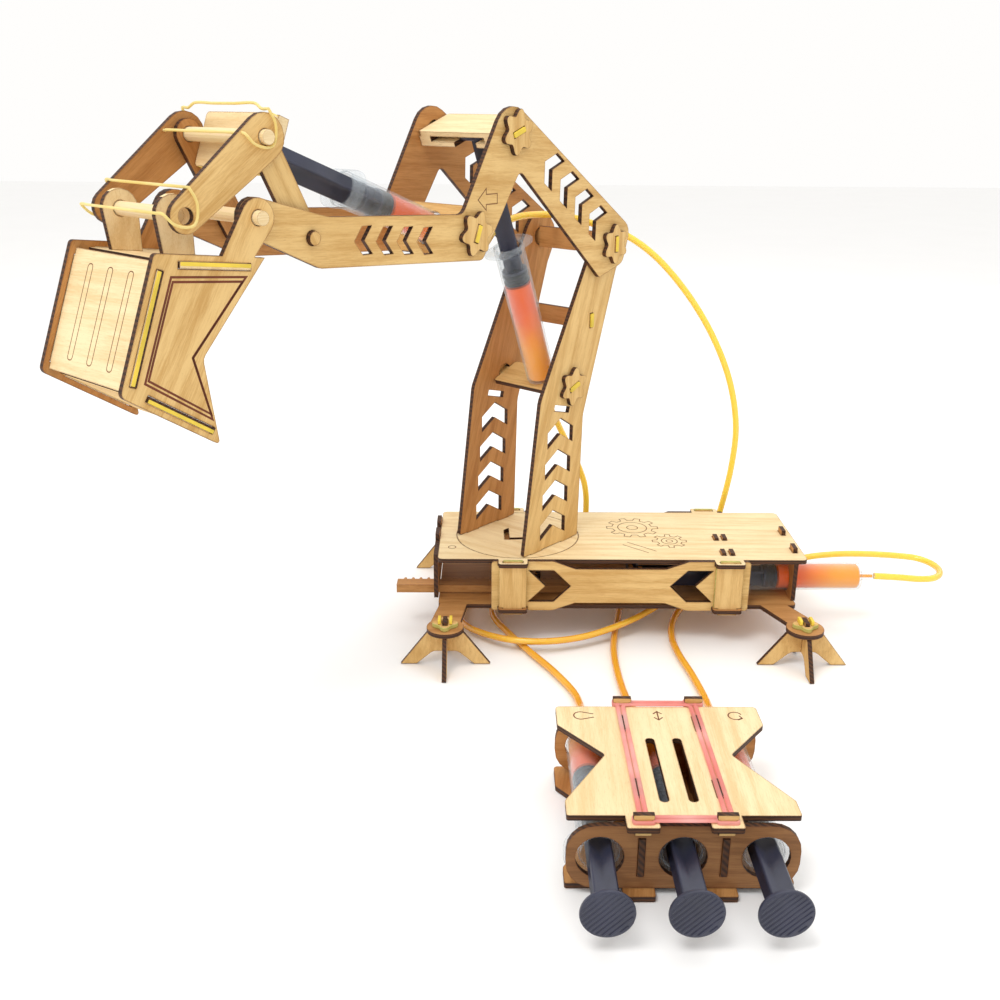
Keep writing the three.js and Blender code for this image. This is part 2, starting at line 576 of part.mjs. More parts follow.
// Upright between two syringes: tabs go through the cover, the floor, the front plate and the rear plate.
function spineGeometry(x) {
  const { front, rear, axis } = CONTROLLER;
  const [low, high] = [BASE_TOP + GAP, COVER_Z - GAP];
  const [near, far] = [front + PLY + GAP, rear - GAP];
  const tabTop = COVER_Z + PLY + 1;
  const tabUp = (y, z, end) => [[y - 6, z], [y - 6, end], [y + 6, end], [y + 6, z]];
  return acrossX(points2([
    [near, low], ...tabUp(-240, low, GROUND + 0.5), ...tabUp(-190, low, GROUND + 0.5), [far, low],
    [far, axis - 9], [rear + PLY + 0.6, axis - 9], [rear + PLY + 0.6, axis + 9], [far, axis + 9], [far, high],
    ...tabUp(-190, high, tabTop).reverse(), ...tabUp(-240, high, tabTop).reverse(), [near, high],
    [near, axis + 9], [front - 0.6, axis + 9], [front - 0.6, axis - 9], [near, axis - 9],
  ]), [], x - PLY / 2);
}

// ---- hoses ----
// Routes by hand, laid out from the slew axis on the deck's top face. They leave each nozzle straight.
const GROUND_RUN = GROUND + HOSE_RADIUS + 0.3;
const NOZZLE_Y = CONTROLLER.front + PLY + GAP + BARREL.length + BARREL.nozzle + GAP;
const TURN_HOSE = [
  [94.6, NOZZLE_Y, -34.3], [94.7, -153, -35.3], [96.3, -140, -41.5], [98.5, -125, -48], [98.5, -108, GROUND_RUN],
  [96, -84, GROUND_RUN], [92.5, -60, GROUND_RUN], [92, -38, GROUND_RUN], [97, -16, -48.5], [109, 3, -46.5],
  [126, 16, -45], [146, 24, -42], [166, 28, -35], [185, 27.5, -27], [206, 24, -22.5], [228, 19.5, -20.5],
  [245.5, 16.5, -20.5], [254, 14.2, -20.8], [260.2, 8, -21.2], [262.5, -0.5, -21.6], [260.2, -9, -21.8],
  [254, -15.2, -21.6], [245.5, -17.5, -21.2], [232, -17.2, -20.3], [216.8, -17, -19.5],
];
const LIFT_HOSE_LOWER = [
  [61.2, NOZZLE_Y, -34.3], [61.1, -153, -35.3], [60, -140, -41.5], [58, -124, -48], [56, -106, GROUND_RUN],
  [54.8, -80, GROUND_RUN], [55.5, -56, GROUND_RUN], [58.5, -34, GROUND_RUN], [62.5, -14, -49], [65, 0, -47.8],
  [66, 12, -46.5], [70.2, 23.6, -45], [80.9, 29.7, -43.5], [93, 27.6, -42], [100.9, 18.2, -41.3],
  [101.4, 7.5, -41], [97.8, 0.4, -41], [77, -24, -42],
  [59, -38, -43.5], [38, -49, -45], [16, -55, -45], [-5, -52, -45.5], [-22, -40, -47], [-33, -22, GROUND_RUN],
  [-35, -2, GROUND_RUN], [-27, 18, GROUND_RUN], [-11, 34, GROUND_RUN], [9, 46, GROUND_RUN], [28, 53, -46],
  [40.5, 55.5, -34], [45.5, 55, -17], [46.5, 53, 0],
];
const LIFT_HOSE_UPPER = [
  [46.5, 52.7, 0.3], [44.5, 49, 16], [38.5, 43, 33], [30.5, 34.5, 50], [23.5, 24, 66], [18.2, 13.2, 79],
];
const GRAB_HOSE_LOWER = [
  [27.8, NOZZLE_Y, -34.3], [28, -153, -35.3], [29.5, -140, -41.5], [31, -124, -48], [29, -106, GROUND_RUN],
  [19, -82, GROUND_RUN], [6, -58, GROUND_RUN], [-6, -34, GROUND_RUN], [-14.5, -12, GROUND_RUN], [-13, 8, GROUND_RUN],
  [2, 20, GROUND_RUN], [24, 23, GROUND_RUN], [50, 26, GROUND_RUN], [76, 34, GROUND_RUN], [99, 46, GROUND_RUN],
  [117, 56, -47.5], [129, 61, -37], [134.5, 62.5, -21], [139, 62, 0], [142.5, 61, 25], [143, 60, 52],
  [136.5, 59, 82], [123, 58, 112], [104, 56, 140], [82, 53, 163], [62, 49.5, 176], [44.7, 46.4, 181.6],
];
// These two are laid out in the boom's plane, as [forward, near side, up].
const GRAB_HOSE_UPPER = [
  [-63.9, 1.4, 181.8], [-54.8, -5.3, 185.2], [-42, -9, 187.6], [-25, -10.8, 188.8], [-8, -11.3, 188.3],
  [6, -10.4, 185.4], [15, -8.4, 181.6], [22.5, -5.5, 178], [30.3, -2, 175.5], [36, -0.3, 175.6],
];

function hoseGeometry(route) {
  const path = new THREE.CatmullRomCurve3(route.map((point) => new THREE.Vector3(...point)), false, 'centripetal');
  const section = new THREE.Shape(ring(0, 0, HOSE_RADIUS, 8));
  const steps = Math.round(route.length * 0.9);
  return new THREE.ExtrudeGeometry(section, { steps, bevelEnabled: false, extrudePath: path });
}

// ---- assembly ----
const kit = new THREE.Group();
kit.name = 'hydraulic_arm_kit';
const toBoom = [0, 0, SLEW_REST];

add(kit, 'deck_plate', deckGeometry(), wood());
add(kit, 'floor_plate', floorGeometry(), wood());
add(kit, 'front_panel', sidePanelGeometry(-1), wood());
add(kit, 'rear_panel', sidePanelGeometry(1), wood());
add(kit, 'end_plate', endPlateGeometry(), wood());
add(kit, 'left_plate', leftPlateGeometry(), wood());
CLAMP_X.forEach((x, k) => add(kit, `flange_clamp_${k + 1}`, clampGeometry(x), wood()));
[['front', -1], ['rear', 1]].forEach(([row, side]) => {
  [['left', FOOT.left], ['right', FOOT.right]].forEach(([end, x]) => {
    add(kit, `foot_${row}_${end}`, footGeometry(x, side), wood());
  });
});

// The turntable: a disc with the masts on it, and the pinion under it.
add(kit, 'turn_pinion', pinionGeometry(), wood());
const turntable = group(kit, [0, 0, 0], toBoom);
add(turntable, 'turntable_disc', discGeometry(), wood());
add(turntable, 'mast_near', mastGeometry(MAST_OUT - PLY), wood());
add(turntable, 'mast_far', mastGeometry(-MAST_OUT), wood());
add(turntable, 'mast_brace', crossStrip(BRACE, 10.5, MAST_OUT - PLY - GAP, 8, MAST_OUT + 0.6), wood());
add(turntable, 'rear_axle', crossStrip(REAR, 12, MAST_OUT - PLY - GAP, TAB, ARM_OUT + 3.2), wood());

// Syringe axes in the boom's plane: a group at the pivot, its +Z towards the far end.
function alongAxis(parent, from, to) {
  const angle = Math.atan2(to[0] - from[0], to[1] - from[1]);
  return group(parent, [from[0], 0, from[1]], [0, angle, 0]);
}

const lift = alongAxis(turntable, LIFT_BASE, APEX);
const liftShoulder = PLY / 2 + GAP;
add(lift, 'lift_cradle', cradleGeometry(MAST_OUT - PLY - GAP, 11, 3, LIFT_OFFSET), wood());
add(lift, 'lift_barrel', barrelGeometry().translate(0, LIFT_OFFSET, liftShoulder), clear());
add(lift, 'lift_plunger', plungerGeometry(LIFT_GASKET).translate(0, LIFT_OFFSET, liftShoulder), navy());
const liftTop = liftShoulder + LIFT_GASKET + PLUNGER.length;
add(lift, 'lift_yoke', yokeGeometry(ARM_OUT - PLY - GAP, 12, LIFT_OFFSET, liftTop), wood());

// The boom.
add(turntable, 'arm_near', armGeometry(ARM_OUT - PLY), wood());
add(turntable, 'arm_far', armGeometry(-ARM_OUT), wood());
const grab = alongAxis(turntable, ELBOW, ROCKER_TOP);
add(grab, 'grab_cradle', cradleGeometry(ARM_OUT - PLY - GAP, 13, BARREL_HOLE, 0), wood());
add(grab, 'grab_barrel', barrelGeometry().rotateZ(Math.PI / 2).translate(0, 0, GRAB_SHOULDER), clear());
add(grab, 'grab_plunger', plungerGeometry(GRAB_GASKET).translate(0, 0, GRAB_SHOULDER), navy());
add(grab, 'grab_yoke', yokeGeometry(ROCKER_OUT - PLY - GAP, 12, 0, GRAB_SHOULDER + GRAB_GASKET + PLUNGER.length), wood());
add(turntable, 'rocker_near', rockerGeometry(ROCKER_OUT - PLY), wood());
add(turntable, 'rocker_far', rockerGeometry(-ROCKER_OUT), wood());
add(turntable, 'top_dowel', dowel(ROCKER_TOP, -DOWEL_END, DOWEL_END), wood());
add(turntable, 'coupler_near', couplerGeometry(COUPLER_OUT - PLY), wood());
add(turntable, 'coupler_far', couplerGeometry(-COUPLER_OUT), wood());

// The bucket.
add(turntable, 'bucket_side_near', bucketSideGeometry(SIDE_OUT - PLY), wood());
add(turntable, 'bucket_side_far', bucketSideGeometry(-SIDE_OUT), wood());
add(turntable, 'bucket_top', bucketTopGeometry(), wood());
add(turntable, 'bucket_back', wallGeometry(WALLS.back), wood());
add(turntable, 'bucket_bottom', wallGeometry(WALLS.bottom), wood());
add(turntable, 'lower_dowel', dowel(LUG, -LUG_OUT - 2.6, LUG_OUT + 2.6), wood());
add(turntable, 'tip_dowel', dowel(TIP, -SIDE_OUT - 3.4, SIDE_OUT + 3.4), wood());

// The turn syringe and the rack that it pushes.
const turn = group(kit, [TURN_AXIS.shoulder, TURN_AXIS.y, TURN_AXIS.z], [0, -Math.PI / 2, 0]);
add(turn, 'turn_barrel', barrelGeometry().rotateZ(Math.PI / 2), clear());
add(turn, 'turn_plunger', plungerGeometry(TURN_GASKET).rotateZ(Math.PI / 4), navy());
add(kit, 'rack_bar', rackGeometry(), wood());

// The controller.
const { front, rear, axis } = CONTROLLER;
add(kit, 'controller_cover', coverGeometry(), wood());
add(kit, 'controller_floor', controllerFloorGeometry(), wood());
add(kit, 'controller_front', crossPlateGeometry(front, CONTROLLER.hole), wood());
add(kit, 'controller_rear', crossPlateGeometry(rear, BARREL_HOLE), wood());
SPINES.forEach((x, k) => add(kit, `controller_spine_${k + 1}`, spineGeometry(x), wood()));
['grab', 'lift', 'turn'].forEach((use, k) => {
  const shoulder = front + PLY + GAP + BARREL.length;
  const station = group(kit, [STATIONS[k], shoulder, axis], [Math.PI / 2, 0, 0]);
  add(station, `control_barrel_${use}`, barrelGeometry(), clear());
  add(station, `control_plunger_${use}`, plungerGeometry(CONTROLLER.gasket).rotateZ(Math.PI / 4), navy());
});

// Move the bottom centre of everything but the hoses to the origin.
const box = new THREE.Box3().setFromObject(kit, true);
const middle = box.getCenter(new THREE.Vector3());
kit.position.set(-middle.x, -middle.y, -box.min.z);

// The last point of a hose that ends on a barrel lies just off its nozzle.
const off = -BARREL.nozzle - GAP;
const nozzleAt = (from, to, y, shoulder) => {
  const axis = new THREE.Vector2(to[0] - from[0], to[1] - from[1]).setLength(shoulder + off);
  return [from[0] + axis.x, y, from[1] + axis.y];
};
const liftEnd = new THREE.Vector3(...nozzleAt(LIFT_BASE, APEX, LIFT_OFFSET, liftShoulder));
liftEnd.applyAxisAngle(new THREE.Vector3(0, 0, 1), SLEW_REST);
add(kit, 'hose_turn', hoseGeometry(TURN_HOSE), tubing());
add(kit, 'hose_lift_lower', hoseGeometry(LIFT_HOSE_LOWER), tubing());
add(kit, 'hose_lift_upper', hoseGeometry([...LIFT_HOSE_UPPER, liftEnd.toArray()]), tubing());
add(kit, 'hose_grab_lower', hoseGeometry(GRAB_HOSE_LOWER), tubing());
const grabEnd = nozzleAt(ELBOW, ROCKER_TOP, 0, GRAB_SHOULDER);
add(turntable, 'hose_grab_upper', hoseGeometry([...GRAB_HOSE_UPPER, grabEnd]), tubing());

export default kit;
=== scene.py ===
"""Looks of a plywood hydraulic arm kit: an excavator arm on a slewing base, its hand controller and three hoses."""
import json
import math

import bmesh
import bpy
import numpy as np
from mathutils import Matrix, Vector

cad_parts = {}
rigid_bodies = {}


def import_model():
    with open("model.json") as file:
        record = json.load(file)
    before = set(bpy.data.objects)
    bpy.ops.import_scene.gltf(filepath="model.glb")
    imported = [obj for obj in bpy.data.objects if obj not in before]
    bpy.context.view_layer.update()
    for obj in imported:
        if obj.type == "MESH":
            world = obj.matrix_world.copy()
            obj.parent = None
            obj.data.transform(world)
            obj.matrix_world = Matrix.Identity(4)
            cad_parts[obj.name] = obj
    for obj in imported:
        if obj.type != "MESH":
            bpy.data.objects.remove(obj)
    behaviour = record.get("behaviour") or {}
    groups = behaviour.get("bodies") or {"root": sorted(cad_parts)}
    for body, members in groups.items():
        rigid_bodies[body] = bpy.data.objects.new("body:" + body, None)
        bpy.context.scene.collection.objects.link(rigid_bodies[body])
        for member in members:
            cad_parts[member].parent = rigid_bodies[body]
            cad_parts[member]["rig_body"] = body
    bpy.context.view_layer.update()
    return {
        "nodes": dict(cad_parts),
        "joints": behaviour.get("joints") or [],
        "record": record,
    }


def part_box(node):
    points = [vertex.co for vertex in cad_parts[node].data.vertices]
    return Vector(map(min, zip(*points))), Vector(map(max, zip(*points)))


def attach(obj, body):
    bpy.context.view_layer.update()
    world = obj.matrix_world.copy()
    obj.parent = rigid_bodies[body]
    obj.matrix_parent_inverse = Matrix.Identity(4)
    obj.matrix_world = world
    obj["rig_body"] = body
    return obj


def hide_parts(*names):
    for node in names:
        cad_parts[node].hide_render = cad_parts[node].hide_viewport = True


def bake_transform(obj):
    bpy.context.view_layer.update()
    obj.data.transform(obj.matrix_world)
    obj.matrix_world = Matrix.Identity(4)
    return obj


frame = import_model()

# ---- sizes, in millimetres unless a name says otherwise ----
MM = 0.001
PLY = 2.5
HOSE_RADIUS = 2.0
BARREL = {"radius": 8.5, "inside": 7.4, "length": 85.0, "nozzle": 9.0, "tip": 2.2, "bore": 1.0}
FLANGE = {"half_long": 14.5, "half_short": 9.2, "thick": 2.0}
PLUNGER = {"length": 88.0, "disc": 10.7, "disc_thick": 2.2, "gasket": 7.25, "gasket_length": 8.0, "rib": 12.6}
MAST_FACE = 27.0            # outer face of the masts, from the boom's middle plane
ARM_FACE = 29.8             # outer face of the boom plates
SIDE_FACE = 32.6            # outer face of the bucket's sides
TAB_LONG = 8.6
WASHER_RADIUS = 9.5
WASHER_WAVE = 1.7
DECK_HALF = 39.0
LUG_STARTS = (-12.0, 114.0)
LUG_WIDTH = 17.0
FLOOR_TOP = -29.0
COVER_TOP = -16.6
FIT = 0.3                   # gap round a tab in its slot

# Points in the boom's plane, as (forward, up).
APEX = (40.0, 235.5)
BRACE = (-31.4, 131.5)
LUG = (230.8, 207.2)
# Each wall of the bucket: the side plate's corners that it runs between, and where its tab starts and ends.
BUCKET_WALLS = {
    "top": ((197.8, 188.8), (247.8, 195.0), 7.0, 10.5),
    "back": ((247.8, 195.0), (268.0, 143.0), 5.5, 5.0),
    "bottom": ((268.0, 143.0), (226.2, 115.2), 10.5, 6.0),
}
WALL_INSET = 4.0
# Outline of the line engraved on the bucket's near side.
SIDE_PANEL = [(241.6, 185.5), (207.6, 182.0), (235.4, 153.0), (228.8, 126.6), (257.2, 146.5)]

# Points laid out from the slew axis, as (x, y) or (x, y, z).
TURN_SHOULDER = (207.5, -17.0, -19.5)
CONTROL_X = {"grab": 27.8, "lift": 61.2, "turn": 94.6}
CONTROL_SHOULDER_Y, CONTROL_AXIS_Z = -173.2, -34.3
FOOT_X = {"left": -42, "right": 162}
FOOT_Y = {"front": -68, "rear": 68}
HOOKS = {
    "rear_left": (45.6, -172.6),
    "rear_right": (79.2, -172.6),
    "front_left": (44.4, -261.6),
    "front_right": (77.6, -261.6),
}
# How far each gasket stands from its barrel's shoulder.
LIFT_GASKET, GRAB_GASKET, TURN_GASKET, CONTROL_GASKET = 62.0, 56.0, 50.5, 33.0

# ---- the frame's axes ----
joints = {joint["name"]: joint for joint in frame["joints"]}
UP = Vector((0, 0, 1))
SLEW = Vector(joints["slew"]["pos_m"])                       # slew axis, on the deck's top face
NEAR = -Vector(joints["lift"]["axis"]).normalized()          # out of the boom's near side
FORWARD = NEAR.cross(UP)                                     # along the boom


def deck(x, y, z):
    """A point laid out from the slew axis on the deck's top face, in the row frame."""
    return SLEW + Vector((x, y, z)) * MM


def boom(forward, near, up):
    """A point laid out along the boom's own directions, in the row frame."""
    return SLEW + (FORWARD * forward + NEAR * near + UP * up) * MM


def place(origin, x_axis, z_axis):
    """Takes local millimetres to the row frame, with local X and Z along the given directions."""
    z = Vector(z_axis).normalized()
    x = Vector(x_axis)
    x = (x - z * x.dot(z)).normalized()
    y = z.cross(x)
    matrix = Matrix((x, y, z)).transposed().to_4x4()
    return Matrix.Translation(origin) @ matrix @ Matrix.Scale(MM, 4)


# ---- camera ----
def make_camera():
    pitch, yaw, roll = math.radians(20.061), math.radians(0.477), math.radians(0.42)
    ahead = Vector((math.sin(yaw) * math.cos(pitch), math.cos(yaw) * math.cos(pitch), -math.sin(pitch)))
    right = Vector((math.cos(yaw), -math.sin(yaw), 0))
    above = right.cross(ahead)
    right, above = (
        right * math.cos(roll) + above * math.sin(roll),
        above * math.cos(roll) - right * math.sin(roll),
    )
    camera = bpy.data.objects.new("camera", bpy.data.cameras.new("camera"))
    camera.data.sensor_width = 36
    camera.data.lens = 38.948
    camera.data.clip_start = 0.02
    turned = Matrix((right, above, -ahead)).transposed().to_4x4()
    camera.matrix_world = Matrix.Translation(deck(-16.12, -618.27, 248.19)) @ turned
    bpy.context.scene.collection.objects.link(camera)
    bpy.context.scene.camera = camera


make_camera()


# ---- node materials ----
def node(tree, kind, inputs=None, **settings):
    """A shader node with its settings; an input is a value or the socket that feeds it."""
    made = tree.nodes.new("ShaderNode" + kind)
    for name, value in settings.items():
        setattr(made, name, value)
    for name, value in (inputs or {}).items():
        if isinstance(value, bpy.types.NodeSocket):
            tree.links.new(value, made.inputs[name])
        else:
            made.inputs[name].default_value = value
    return made


def new_material(name):
    material = bpy.data.materials.new(name)
    material.use_nodes = True
    material.node_tree.nodes.clear()
    return material, material.node_tree


def math_node(tree, operation, a, b=0.0, clamp=False):
    made = tree.nodes.new("ShaderNodeMath")
    made.operation = operation
    made.use_clamp = clamp
    for socket, value in zip(made.inputs, (a, b)):
        if isinstance(value, bpy.types.NodeSocket):
            tree.links.new(value, socket)
        else:
            socket.default_value = value
    return made.outputs[0]


def dot(tree, vector, direction):
    made = tree.nodes.new("ShaderNodeVectorMath")
    made.operation = "DOT_PRODUCT"
    tree.links.new(vector, made.inputs[0])
    made.inputs[1].default_value = direction
    return made.outputs["Value"]


def noise(tree, vector, scale, detail=3.0, roughness=0.5):
    made = node(tree, "TexNoise", {"Vector": vector, "Scale": scale, "Detail": detail, "Roughness": roughness})
    return made.outputs["Fac"]


def mix(tree, factor, a, b):
    """Colour a where factor is 0, b where it is 1."""
    made = tree.nodes.new("ShaderNodeMix")
    made.data_type = "RGBA"
    colour_sockets = [socket for socket in made.inputs if socket.type == "RGBA"]
    for socket, value in zip([made.inputs["Factor"], *colour_sockets], (factor, a, b)):
        if isinstance(value, bpy.types.NodeSocket):
            tree.links.new(value, socket)
        else:
            socket.default_value = value
    return next(socket for socket in made.outputs if socket.type == "RGBA")


def ramp(tree, factor, low, high):
    """0 below low, 1 above high, smooth between."""
    made = node(tree, "MapRange", {"Value": factor, "From Min": low, "From Max": high},
                interpolation_type="SMOOTHSTEP")
    return made.outputs["Result"]


def bump(tree, height, strength, distance):
    return node(tree, "Bump", {"Height": height, "Strength": strength, "Distance": distance}).outputs["Normal"]


def finish_material(tree, shader):
    node(tree, "OutputMaterial", {"Surface": shader.outputs[0]})


def rgba(red, green, blue):
    return (red, green, blue, 1.0)


# Wood tones: gold is the wood's own colour; the pale tone is painted light, for plates that face up into the light;
# the amber and brown tones are painted shade, for plates in shade.
TONES = {
    "painted_lit_pale": (rgba(0.72, 0.52, 0.26), rgba(0.86, 0.69, 0.41)),
    "gold": (rgba(0.56, 0.325, 0.10), rgba(0.76, 0.515, 0.21)),
    "painted_shade_amber": (rgba(0.38, 0.165, 0.045), rgba(0.54, 0.27, 0.09)),
    "painted_shade_brown": (rgba(0.20, 0.085, 0.028), rgba(0.33, 0.155, 0.055)),
}
BURNT = rgba(0.030, 0.013, 0.007)
SCORCH = rgba(0.21, 0.075, 0.022)
GREEN_EDGE = rgba(0.42, 0.40, 0.09)
LIT_YELLOW_EDGE = rgba(0.80, 0.60, 0.10)
PALE_LAYER = rgba(0.75, 0.62, 0.28)


def plywood(name, faces, grain, tone="gold", edge=BURNT, halo=0.0009, crossing=None):
    """Birch ply: grained faces, scorched near each cut, and laser-burnt edges that show their layers.

    Two upright plates that cross are one solid: crossing is the (x, y) of the upright line that they share.
    """
    material, tree = new_material(name)
    coordinates = tree.nodes.new("ShaderNodeTexCoord")
    position, normal = coordinates.outputs["Object"], coordinates.outputs["Normal"]
    along = Vector(grain).normalized()
    across = Vector(faces[0]).cross(along).normalized()
    streaks = tree.nodes.new("ShaderNodeCombineXYZ")
    for socket, direction, stretch in zip(streaks.inputs, (along, across, faces[0]), (1.0, 14.0, 5.0)):
        tree.links.new(math_node(tree, "MULTIPLY", dot(tree, position, direction), stretch), socket)
    fine = noise(tree, streaks.outputs[0], 130.0, 4.0, 0.6)
    broad = noise(tree, streaks.outputs[0], 16.0, 3.0)
    blotch = noise(tree, position, 22.0, 2.0)
    dark, light = TONES[tone]
    figure = math_node(tree, "ADD", math_node(tree, "MULTIPLY", broad, 0.6), math_node(tree, "MULTIPLY", fine, 0.4))
    wood = mix(tree, ramp(tree, figure, 0.34, 0.62), dark, light)
    wood = mix(tree, math_node(tree, "MULTIPLY", ramp(tree, blotch, 0.45, 0.75), 0.35), wood, dark)
    pores = ramp(tree, noise(tree, streaks.outputs[0], 420.0, 2.0), 0.62, 0.72)
    wood = mix(tree, math_node(tree, "MULTIPLY", pores, 0.3), wood, SCORCH)
    bevelled = node(tree, "Bevel", {"Radius": halo}, samples=4).outputs["Normal"]
    flat = tree.nodes.new("ShaderNodeNewGeometry").outputs["True Normal"]
    turned = tree.nodes.new("ShaderNodeVectorMath")
    turned.operation = "DOT_PRODUCT"
    tree.links.new(bevelled, turned.inputs[0])
    tree.links.new(flat, turned.inputs[1])
    near_cut = ramp(tree, math_node(tree, "SUBTRACT", 1.0, turned.outputs["Value"]), 0.004, 0.14)
    wood = mix(tree, math_node(tree, "MULTIPLY", near_cut, 0.92), wood, SCORCH)
    facing = None
    for direction in faces:
        aligned = math_node(tree, "ABSOLUTE", dot(tree, normal, direction))
        if crossing:
            sideways = Vector((-direction[1], direction[0], 0))
            offset = math_node(tree, "SUBTRACT", dot(tree, position, sideways), sideways.dot((*crossing, 0)))
            beside = math_node(tree, "GREATER_THAN", math_node(tree, "ABSOLUTE", offset), PLY / 2 * MM * 1.06)
            aligned = math_node(tree, "MULTIPLY", aligned, beside)
        facing = aligned if facing is None else math_node(tree, "MAXIMUM", facing, aligned)
    on_face = ramp(tree, facing, 0.80, 0.90)
    layers = node(tree, "TexWave", {
        "Vector": position, "Scale": 190.0, "Distortion": 1.5, "Detail": 1.0,
    }, bands_direction="Z" if abs(faces[0][2]) > 0.7 else "DIAGONAL").outputs["Fac"]
    layer = SCORCH if edge == BURNT else PALE_LAYER
    side = mix(tree, math_node(tree, "MULTIPLY", layers, 0.35), edge, layer)
    colour = mix(tree, on_face, side, wood)
    relief = math_node(tree, "ADD", fine, math_node(tree, "MULTIPLY", pores, -0.6))
    shader = node(tree, "BsdfPrincipled", {
        "Base Color": colour,
        "Roughness": math_node(tree, "ADD", 0.52, math_node(tree, "MULTIPLY", fine, 0.25)),
        "Normal": bump(tree, relief, 0.25, 0.00025),
        "Specular IOR Level": 0.35,
    })
    finish_material(tree, shader)
    return material


def plastic(name, colour, roughness, grain=900.0, strength=0.08):
    """Moulded plastic or rubber with a faint matt texture and uneven gloss."""
    material, tree = new_material(name)
    position = tree.nodes.new("ShaderNodeTexCoord").outputs["Object"]
    speckle = noise(tree, position, grain, 2.0)
    shade = tuple(0.72 * channel for channel in colour[:3]) + (1.0,)
    shader = node(tree, "BsdfPrincipled", {
        "Base Color": mix(tree, ramp(tree, noise(tree, position, 60.0), 0.35, 0.7), colour, shade),
        "Roughness": math_node(tree, "ADD", roughness - 0.08, math_node(tree, "MULTIPLY", speckle, 0.16)),
        "Normal": bump(tree, speckle, strength, 0.0001),
    })
    finish_material(tree, shader)
    return material


def clear_plastic():
    """Clear barrel: glossy and a little grey where it is seen edge on, and otherwise seen through."""
    material, tree = new_material("clear_barrel")
    position = tree.nodes.new("ShaderNodeTexCoord").outputs["Object"]
    haze = noise(tree, position, 120.0, 3.0)
    edge_on = node(tree, "LayerWeight", {"Blend": 0.22}).outputs["Facing"]
    cover = math_node(tree, "ADD", math_node(tree, "MULTIPLY", edge_on, 0.55), 0.03, clamp=True)
    body = node(tree, "BsdfPrincipled", {
        "Base Color": rgba(0.58, 0.63, 0.67),
        "Roughness": math_node(tree, "ADD", 0.05, math_node(tree, "MULTIPLY", haze, 0.08)),
        "Specular IOR Level": 0.9,
    })
    through = node(tree, "BsdfTransparent", {"Color": rgba(0.975, 0.985, 0.99)})
    finish_material(tree, node(tree, "MixShader", {0: cover, 1: through.outputs[0], 2: body.outputs[0]}))
    return material


def liquid_colour():
    """Dyed water: yellow-orange by the nozzle, darkened to deep red-orange towards the gasket as painted shade, with
    a faint painted glow.
    """
    material, tree = new_material("liquid")
    along = node(tree, "Attribute", attribute_name="along").outputs["Fac"]
    position = tree.nodes.new("ShaderNodeTexCoord").outputs["Object"]
    cloud = math_node(tree, "MULTIPLY", noise(tree, position, 90.0), 0.25)
    # Painted shade: towards the gasket the liquid turns deep red; the cloud is the dye's own unevenness.
    dye_and_painted_shade = ramp(tree, math_node(tree, "ADD", along, cloud), 0.35, 0.95)
    colour = mix(tree, dye_and_painted_shade, rgba(0.98, 0.37, 0.008), rgba(0.86, 0.12, 0.004))
    # The faint emission is a painted glow: the liquid shines a little without a lamp.
    shader = node(tree, "BsdfPrincipled", {
        "Base Color": colour, "Roughness": math_node(tree, "ADD", 0.12, cloud),
        "Emission Color": colour, "Emission Strength": 0.12, "Specular IOR Level": 0.2,
    })
    finish_material(tree, shader)
    return material


def hose_colour():
    """Soft tube full of dyed liquid: yellow, with orange at its sides as painted shade, and orange where it lies
    near the ground, partly the liquid and partly painted shade.
    """
    material, tree = new_material("tubing")
    position = tree.nodes.new("ShaderNodeTexCoord").outputs["Object"]
    height = node(tree, "SeparateXYZ", {"Vector": position}).outputs["Z"]
    cloud = noise(tree, position, 28.0, 2.0)
    # Painted shade, partly the liquid's own colour: orange where the tube lies near the ground.
    low = math_node(tree, "SUBTRACT", 1.0, ramp(tree, height, 0.004, 0.03))
    # Painted shade round the tube's sides: orange at its rims, a bright centre.
    side = node(tree, "LayerWeight", {"Blend": 0.3}).outputs["Facing"]
    dye_and_painted_shade = math_node(tree, "ADD", math_node(tree, "MULTIPLY", low, 0.45), math_node(tree, "MULTIPLY", side, 0.75))
    dye_and_painted_shade = math_node(tree, "ADD", dye_and_painted_shade, math_node(tree, "MULTIPLY", cloud, 0.3))
    colour = mix(tree, ramp(tree, dye_and_painted_shade, 0.12, 1.2), rgba(0.95, 0.68, 0.07), rgba(0.72, 0.27, 0.012))
    shader = node(tree, "BsdfPrincipled", {
        "Base Color": colour,
        "Roughness": math_node(tree, "ADD", 0.2, math_node(tree, "MULTIPLY", cloud, 0.12)),
        "Subsurface Weight": 0.4, "Subsurface Scale": 0.002, "Subsurface Radius": (1.0, 0.6, 0.1),
        "Coat Weight": 0.35, "Coat Roughness": 0.1,
    })
    finish_material(tree, shader)
    return material


def band_colour(name, colour, through):
    """Thin translucent rubber."""
    material, tree = new_material(name)
    position = tree.nodes.new("ShaderNodeTexCoord").outputs["Object"]
    dust = noise(tree, position, 700.0, 2.0)
    body = node(tree, "BsdfPrincipled", {
        "Base Color": mix(tree, ramp(tree, noise(tree, position, 45.0), 0.35, 0.7), colour, through),
        "Roughness": math_node(tree, "ADD", 0.3, math_node(tree, "MULTIPLY", dust, 0.2)),
        "Normal": bump(tree, dust, 0.1, 0.0001),
    })
    glow = node(tree, "BsdfTranslucent", {"Color": through})
    finish_material(tree, node(tree, "MixShader", {0: 0.4, 1: body.outputs[0], 2: glow.outputs[0]}))
    return material


